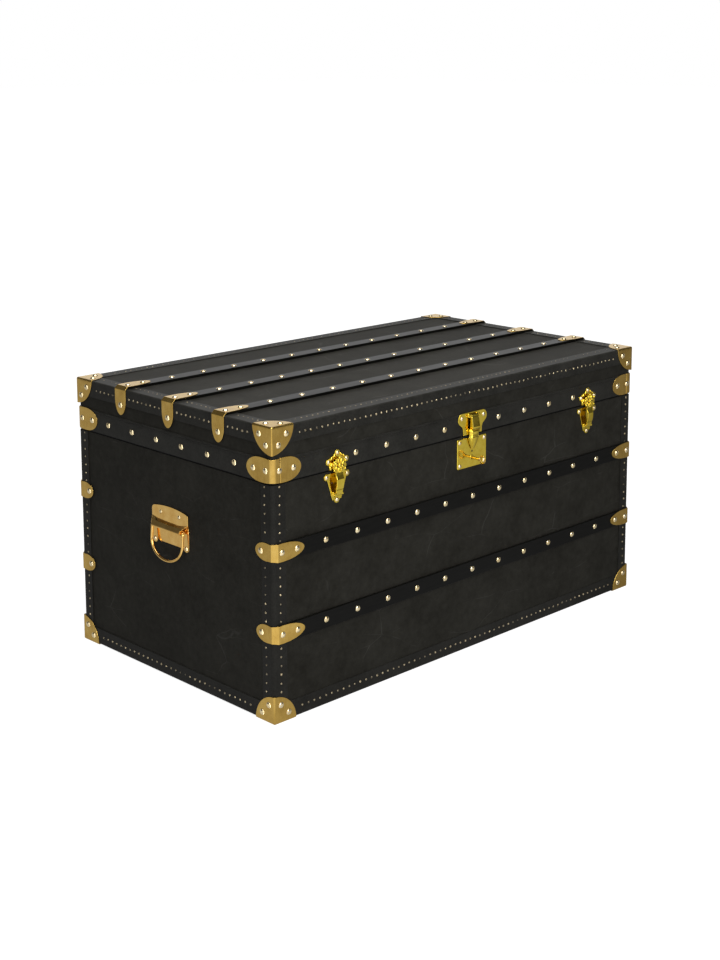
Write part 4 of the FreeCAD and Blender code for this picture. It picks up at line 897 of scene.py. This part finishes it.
def handle_loop(mesh, to_world):
    bow_top = RING_FOOT + RING_BOW
    bow = [(y, bow_top + z * RING_BOW / RING_HALF) for y, z in arc(0, 0, RING_HALF, 0, -180, 32)]
    path = arc(RING_HALF - RING_ELBOW, BAR_UP - RING_ELBOW, RING_ELBOW, 90, 0, 6)
    path += [(RING_HALF, (BAR_UP + bow_top) / 2)] + bow + [(-RING_HALF, (BAR_UP + bow_top) / 2)]
    path += arc(RING_ELBOW - RING_HALF, BAR_UP - RING_ELBOW, RING_ELBOW, 180, 90, 6)

    def out_at(up):
        return BAR_OUT + RING_LEAN * (BAR_UP - up) / (BAR_UP - RING_FOOT)

    tube(mesh, path, RING_WIRE, out_at, to_world)


def shaped(name, shape, place, paint, body, node):
    """Makes a bright piece from a function that lays its shape out on a wall."""
    mesh = bmesh.new()
    shape(mesh, place)
    made(name, mesh, paint, body, "bright_brass", node)


dull_gold, clean_gold = (0.3, (0.78, 0.46, 0.120)), (0.7, (0.93, 0.61, 0.200))
polished = worn_metal("polished_brass", (60, 4, 0.6), dull_gold, clean_gold, (0.08, 0.16))
for end, side in (("left", -1), ("right", 1)):
    place = end_place(side)
    shaped(f"{end}_handle_leaves", handle_leaves, place, polished, "base", f"{end}_handle_plate")
    shaped(f"{end}_handle_loop", handle_loop, place, polished, f"{end}_handle", f"{end}_handle_ring")


# Draw latches: a three-lobed catch on the lid, a shield plate on the box, and a lever between them:
# a bowed thumb strap with a rosette at its head that hooks over the catch.
PIVOT_OUT, PIVOT_UP = 5.0, 381.0
EAR_HALF, EAR_AT = 1.7, 8.8
BARREL, PIN = 3.2, 1.5
ROSETTE_UP = 433.0
ROSETTE_BEADS = ((-12.4, 425.2), (12.4, 425.2), (-13.2, 439.6), (13.2, 439.6), (0, 445.8), (0, 421.6))
ROSETTE_SIDES = ((-12.8, 429.0), (-13.2, 434.5), (12.8, 429.0), (13.2, 434.5))
CATCH_SCROLLS = (
    (17.8, 429.0, (2.6, 3.2, 4.6), 20), (15.6, 434.6, (2.4, 3.4, 4.4), -30),
    (14.8, 446.2, (2.6, 3.0, 4.4), -50), (8.2, 450.2, (2.4, 3.0, 4.0), -35),
)
THUMB_BOW = ((6.1, 381.0), (7.4, 388.2), (9.9, 398.5), (10.2, 408.0), (7.6, 414.0), (6.4, 421.0))
THUMB_CREASE = 9.0
PIN_EDGE = 0.0003


def front_place(centre):
    """Millimetres out from the front wall, along it and up, as a point of the trunk."""
    def to_world(out, along, up):
        return Vector((centre + along * MM, FRONT_Y - out * MM, up * MM))
    return to_world


def block(mesh, to_world, across, out, up):
    """A plain block between two limits across, two off the wall and two in height."""
    ring = ((out[0], across[0]), (out[1], across[0]), (out[1], across[1]), (out[0], across[1]))
    loft(mesh, [[to_world(o, a, u) for o, a in ring] for u in up])


def lump(mesh, to_world, out, across, up, size, lean=0.0):
    """A rounded lump, longer one way, that may lean to the side."""
    rings = []
    for k in range(1, 12):
        down = math.pi * k / 12
        u = size[2] * math.cos(down)
        ring = []
        for angle in turns(14):
            a, o = size[0] * math.sin(down) * math.cos(angle), size[1] * math.sin(down) * math.sin(angle)
            ring.append(to_world(out + o, across + a * math.cos(lean) + u * math.sin(lean),
                                 up + u * math.cos(lean) - a * math.sin(lean)))
        rings.append(ring)
    loft(mesh, rings)


def ears(mesh, to_world, apart, out, up, foot):
    """Two ears that hold a pin: short tubes, each on a foot between two distances off the wall."""
    for across in (-apart, apart):
        collar(mesh, to_world, across, EAR_HALF, out, up, PIN, BARREL)
        block(mesh, to_world, (across - EAR_HALF, across + EAR_HALF), foot, (up - BARREL, up + BARREL))


def latch_shield(mesh, to_world):
    right = [*arc(0, 370, 6.3, -84, 0, 7), (10.5, 370), *arc(24.4, 413, 5.8, -110, 110, 14), (22, 419)]
    plate(mesh, mirror(right), 0, 1.5, 0.6, to_world)
    ears(mesh, to_world, EAR_AT, PIVOT_OUT, PIVOT_UP, (0.5, 2.4))


def latch_thumb(mesh, to_world):
    """The lever: its rolled end, the bowed strap and the rosette at its head."""
    collar(mesh, to_world, 0, 6.8, PIVOT_OUT, PIVOT_UP, PIN + 0.06, BARREL)
    line = bent_line(THUMB_BOW, 4.0)
    total = lengths(line)[-1]

    def half_at(stop):
        return 6.6 + 1.9 * min(stop / THUMB_CREASE, 1.0)

    def thick_at(stop):
        return 1.4 if abs(stop - THUMB_CREASE) < 0.5 else 2.0

    def at(spot, across):
        return to_world(spot.x, across, spot.y)

    stops = [THUMB_CREASE + step for step in (-1.0, -0.45, 0.45, 1.0)]
    stops += [total * k / 12 for k in range(1, 12)]
    bent_strap(mesh, line, stops, half_at, thick_at, 0.8, at)
    shell = [(9.0, 419.4), (13.6, 424.5), (14.4, 433), (12.0, 441), (6.0, 445.5)]
    plate(mesh, mirror(shell), 8.5, 9.8, 0.5, to_world)
    lump(mesh, to_world, 10.2, 0, ROSETTE_UP, (4.0, 2.4, 4.0))
    for petal in range(8):
        turn = math.radians(45 * petal + 22.5)
        across, up = 8.4 * math.sin(turn), ROSETTE_UP + 8.0 * math.cos(turn)
        lump(mesh, to_world, 9.7, across, up, (2.8, 2.2, 4.6), turn)
    for across, up in ROSETTE_BEADS:
        lump(mesh, to_world, 9.2, across, up, (2.4, 2.3, 2.4))
    for across, up in ROSETTE_SIDES:
        lump(mesh, to_world, 7.0, across, up, (2.0, 3.0, 3.4))
    block(mesh, to_world, (-7, 7), (5.0, 9.0), (442.3, 444.1))


def latch_catch(mesh, to_world):
    right = [(19.5, 425.3), *arc(21, 440.1, 5.8, -100, 100, 14), *arc(0, 453.6, 6, -20, 84, 9)]
    plate(mesh, mirror(right), 1.8, 3.3, 0.6, to_world)
    block(mesh, to_world, (-7.5, 7.5), (3.2, 8.0), (428.5, 431.5))
    block(mesh, to_world, (-7.5, 7.5), (6.0, 8.0), (431.5, 441.5))
    for side in (-1, 1):
        for across, up, size, lean in CATCH_SCROLLS:
            lump(mesh, to_world, 3.2, side * across, up, size, side * math.radians(lean))


dull_lock, clean_lock = (0.3, (0.74, 0.53, 0.046)), (0.7, (0.90, 0.70, 0.098))
bright = worn_metal("bright_brass", (70, 4, 0.6), dull_lock, clean_lock, (0.09, 0.18))
# Black for painted shade: inside holes, slot and keyhole, and the shadow below the hasp's nose.
dark = Paint("dark_recess", Base_Color=(0.004, 0.004, 0.003, 1), Roughness=0.8)
catches = bmesh.new()
holes = bmesh.new()
for end in ("left", "right"):
    place = front_place(sum(c.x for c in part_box(f"{end}_latch_plate")) / 2)
    shaped(f"{end}_latch_shield", latch_shield, place, bright, "base", f"{end}_latch_plate")
    shaped(f"{end}_latch_thumb", latch_thumb, place, bright, f"{end}_latch", f"{end}_latch_lever")
    latch_catch(catches, place)
    # A black disc on each shield is painted shade inside a rivet hole.
    plate(holes, arc(-11.5, 401.5, 1.5, 0, 330, 11), 1.2, 1.55, 0.02, place)
made("latch_catch_pair", catches, bright, "lid", "bright_brass", "latch_catches")
made("latch_rivet_holes", holes, dark, "base", "steel")
dress("latch_pins", bright, "base", "bright_brass", PIN_EDGE)


# Lock: a square plate on the box with a keyhole and a slot for the staple, the key left in it,
# and on the lid a lobed plate from which the hasp hangs: a sloping strap that ends in a ribbed nose.
HASP_OUT, HASP_UP, HASP_EAR = 6.9, 462.0, 12
HASP_CHEEK, STRAP_EASE = 6.0, 1.5
KEYHOLE_UP = 379.0


def about_keyhole(to_world):
    """Radius and turn about the keyhole, and distance off the wall, as a point of the trunk."""
    def at(radius, turn, far):
        return to_world(far, radius * math.cos(turn), KEYHOLE_UP + radius * math.sin(turn))
    return at


def lock_face(mesh, to_world):
    right = [*arc(37.5, 364, 3, -90, 0, 5), *arc(37.5, 416, 3, 0, 90, 5)]
    plate(mesh, mirror(right), 0, 1.8, 1.1, to_world)
    rim = [(2.8, 1.0), (5.4, 1.0), (5.4, 2.0), (4.8, 2.6), (3.4, 2.6), (2.8, 2.0)]
    turned(mesh, rim, about_keyhole(to_world))


def hasp_face(mesh, to_world):
    right = [(26, 425.3), (26.3, 436), (28.5, 441.5), *arc(27.8, 456.3, 12.2, -50, 90, 16)]
    plate(mesh, mirror(right), 1.8, 3.3, 0.8, to_world)
    ears(mesh, to_world, HASP_EAR, HASP_OUT, HASP_UP, (2.5, 4.4))


def stacked(mesh, to_world, stations, ease):
    """Skins stations of height, half width, and how far the back and the front stand off the wall."""
    rings = []
    for up, half, back, front in stations:
        section = strap_ring(half, front - back, ease)
        rings.append([to_world(back + out, across, up) for across, out in section])
    loft(mesh, rings)


def hasp_strap(mesh, to_world):
    """The hasp from its nose up: the ribbed block, the sloping strap, its barrel, and the staple behind."""
    nose = [(396.6, 3.0, 2.7, 4.3), (397.6, 4.2, 2.7, 5.4), (404, 7.2, 2.7, 7.8), (411, 10.2, 2.7, 9.6),
            (417, 12.0, 2.7, 10.6)]
    ribs = []
    for foot in (418.6, 421.4, 424.2):
        front = 10.6 + (foot - 418.6) * 0.13
        for rise_by, proud in ((0.0, 0.0), (0.3, 0.9), (1.7, 1.0), (2.0, 0.1)):
            ribs.append((foot + rise_by, 12.2, 4.0, front + proud))
    body = [(430, 12.5, 4.0, 12.6), (436.4, 12.5, 4.0, 13.2)]
    stacked(mesh, to_world, nose + ribs + body, HASP_CHEEK)
    strap = [(435.6, 10.6, 6.4, 14.2), (441, 10.4, 6.4, 13.5), (447, 10, 6.4, 12.6), (453, 10, 6.6, 11.6),
             (458.5, 10, 7.0, 10.6), (462.5, 10, 7.4, 10.0)]
    stacked(mesh, to_world, strap, STRAP_EASE)
    collar(mesh, to_world, 0, 10, HASP_OUT, HASP_UP, PIN + 0.06, BARREL)
    for up in ((400.0, 402.2), (407.8, 410.0)):
        block(mesh, to_world, (-3.2, 3.2), (-7.0, 4.0), up)
    block(mesh, to_world, (-3.2, 3.2), (-7.0, -6.4), (402.0, 408.0))
    block(mesh, to_world, (-3.2, 3.2), (-1.6, 4.0), (402.0, 408.0))


def lock_key(mesh, to_world):
    """A round shank with a collar, an oval bow, and the bit that works the bolt."""
    shank = [(-9, 2.5), (3, 2.5), (3.2, 2.5), (20, 2.4), (20.2, 3.4), (21.6, 3.6), (23, 3.2), (23.4, 2.0)]
    at = about_keyhole(to_world)
    loft(mesh, [[at(radius, turn, out) for turn in turns(16)] for out, radius in shank])
    rings = []
    for turn in turns(28):
        ring = []
        for angle in turns(10):
            far = 1 + 1.6 * math.cos(angle) / 7
            ring.append(to_world(28.6 + 6.0 * far * math.cos(turn), 1.3 * math.sin(angle),
                                 KEYHOLE_UP + 6.9 * far * math.sin(turn)))
        rings.append(ring)
    loft(mesh, rings, looped=True)
    block(mesh, to_world, (-1.2, 1.2), (-7.2, -2.1), (371.0, 379.0))


place = front_place(0)
# Painted shade: a black block and disc inside the staple's slot and the keyhole, and a disc below the hasp's
# nose that is painted shadow of its tip.
slots = bmesh.new()
block(slots, place, (-3.5, 3.5), (1.0, 1.84), (399.0, 411.0))
plate(slots, arc(0, KEYHOLE_UP, 2.9, 0, 340, 17), 1.0, 1.9, 0.02, place)
plate(slots, arc(0, 391.6, 1.9, 0, 330, 11), 1.0, 1.9, 0.02, place)
shaped("lock_face", lock_face, place, bright, "base", "lock_plate")
shaped("hasp_face", hasp_face, place, bright, "lid", "hasp_plate")
shaped("hasp_strap", hasp_strap, place, bright, "hasp", "hasp")
shaped("lock_key", lock_key, place, brass, "key", "key")
made("lock_slots", slots, dark, "base", "steel")
dress("hasp_pin", bright, "lid", "bright_brass", PIN_EDGE)


# Lock works and hinges: a folded steel case with a sliding bolt, and three brass butt hinges
# with steel pins across the back.
def plain_steel():
    paint = Paint("plain_steel", Metallic=1.0)
    drawn = paint.noise(400, 3, 0.5, paint.stretched((0.1, 1, 1)))
    paint.set(Base_Color=paint.ramp(drawn, (0.3, (0.34, 0.33, 0.31)), (0.7, (0.50, 0.49, 0.47))))
    paint.set(Roughness=paint.level(drawn, 0.32, 0.45))
    return paint


FITTING_EDGE = 0.0005
steel = plain_steel()
dress("lock_case", steel, "base", "steel", FITTING_EDGE)
dress("lock_bolt", steel, "bolt", "steel", FITTING_EDGE)
dress("hinge_base_leaves", brass, "base", "aged_brass", FITTING_EDGE)
dress("hinge_lid_leaves", brass, "lid", "aged_brass", FITTING_EDGE)
dress("hinge_pins", steel, "base", "steel", FITTING_EDGE)


# Studio: a pale floor and backdrop, soft lights above and to the front left, and the camera
# at the place the trunk was photographed from.
FLOOR_HALF = 30.0
AMBIENT = 0.10
BACKDROP = (0.69, 0.72, 0.0)
PURE = (1, 1, 1, 1)


def toward_backdrop(graph, way):
    """How far a direction points at the lit backdrop: 1 straight at it, -1 straight away."""
    sockets = {0: way, 1: BACKDROP}
    return graph.node("ShaderNodeVectorMath", {"operation": "DOT_PRODUCT"}, sockets, out="Value")


def lit_white(graph, kind, shade, white, level):
    """Shows white to the camera, the studio's own tones to reflections, and a plain level to the light."""
    def ray(name):
        return graph.node("ShaderNodeLightPath", out=name)

    mirrored = graph.node(kind, None, {"Color": PURE, "Strength": level})
    polished_ray = ray("Is Glossy Ray") + ray("Is Transmission Ray")
    seen = graph.node("ShaderNodeMixShader", None, {0: polished_ray, 1: shade, 2: mirrored})
    return graph.node("ShaderNodeMixShader", None, {0: ray("Is Camera Ray"), 1: seen, 2: white})


mesh = bmesh.new()
bmesh.ops.create_grid(mesh, x_segments=1, y_segments=1, size=FLOOR_HALF)
floor_data = bpy.data.meshes.new("floor")
mesh.to_mesh(floor_data)
mesh.free()
floor = bpy.data.objects.new("floor", floor_data)
scene.collection.objects.link(floor)

pale = Paint("pale_floor", Base_Color=(0.40, 0.40, 0.40, 1), Roughness=0.9, Specular_IOR_Level=0.0)
matt = Wire(pale, pale.shader.outputs[0])
far = pale.node("ShaderNodeVectorMath", {"operation": "LENGTH"}, {0: pale.place}, out="Value")
own_light = pale.rise(far, 0.8, 2.2, 0.90, 1.0)
glow = pale.node("ShaderNodeEmission", None, {"Color": PURE, "Strength": own_light})
bright_floor = pale.node("ShaderNodeAddShader", None, {0: matt, 1: glow})
outward = pale.node("ShaderNodeVectorMath", {"operation": "NORMALIZE"}, {0: pale.place})
to_right = pale.rise(pale.node("ShaderNodeSeparateXYZ", None, {0: outward}), 0.60, 0.80, 0.53, 0.30)
to_camera = pale.rise(toward_backdrop(pale, outward), -0.60, -0.92, 0.0, 0.62)
to_camera *= pale.rise(far, 0.5, 0.8, 0.0, 1.0)
floor_tone = (to_right + to_camera) * pale.rise(far, 3.2, 6.0, 1.0, 0.25)
pale.feed(pale.tree.nodes["Material Output"].inputs[0],
          lit_white(pale, "ShaderNodeEmission", matt, bright_floor, floor_tone))
floor_data.materials.append(pale.material)

world = bpy.data.worlds.new("studio")
scene.world = world
world.use_nodes = True
sky = Graph(world.node_tree)
soft = sky.node("ShaderNodeBackground", None, {"Color": PURE, "Strength": AMBIENT})
white = sky.node("ShaderNodeBackground", None, {"Color": PURE, "Strength": 1.0})
way = sky.node("ShaderNodeTexCoord", out="Generated")
height = sky.node("ShaderNodeSeparateXYZ", None, {0: way}, out=2)
facing = toward_backdrop(sky, way)
lit_side = sky.rise(facing, 0.25, 0.85, 0.0, 0.95) * sky.rise(height, 0.25, 0.55, 1.0, 0.0)
lens_side = sky.rise(facing, -0.45, -0.80, 0.0, 0.85)
sky_tone = lit_side + lens_side + sky.rise(height, 0.0, 0.06, 0.20, 0.10)
sky.feed(sky.tree.nodes["World Output"].inputs[0],
         lit_white(sky, "ShaderNodeBackground", soft, white, sky_tone))


def softbox(name, at, toward, width, height, power):
    """A large area light that faces a point."""
    lamp = bpy.data.lights.new(name, "AREA")
    lamp.shape = "RECTANGLE"
    lamp.size = width
    lamp.size_y = height
    lamp.energy = power
    holder = bpy.data.objects.new(name, lamp)
    scene.collection.objects.link(holder)
    holder.location = at
    holder.rotation_euler = (Vector(toward) - Vector(at)).to_track_quat("-Z", "Y").to_euler()


softbox("top_light", (-0.35, -0.3, 2.4), (-0.1, 0, 0.5), 1.8, 1.6, 40)
softbox("front_light", (-1.2, -3.1, 1.9), (-0.2, 0, 0.3), 2.0, 1.6, 62)
softbox("left_light", (-3.3, -0.7, 1.4), (0, 0, 0.3), 1.4, 1.4, 7)

SENSOR = 36.0
PICTURE_HIGH = 960
FOCAL_PIXELS = 1590.9
EYE = Vector((-2.1814, -2.2470, 1.1652))
AZIMUTH = math.radians(-44.909)
TILT = math.radians(8.944)
lens = bpy.data.cameras.new("camera")
lens.sensor_width = SENSOR
lens.lens = FOCAL_PIXELS / PICTURE_HIGH * SENSOR
lens.shift_x = -28 / PICTURE_HIGH
lens.shift_y = -192 / PICTURE_HIGH
lens.clip_end = 200
camera = bpy.data.objects.new("camera", lens)
scene.collection.objects.link(camera)
camera.location = EYE
camera.rotation_euler = (math.pi / 2 - TILT, 0, AZIMUTH)
scene.camera = camera
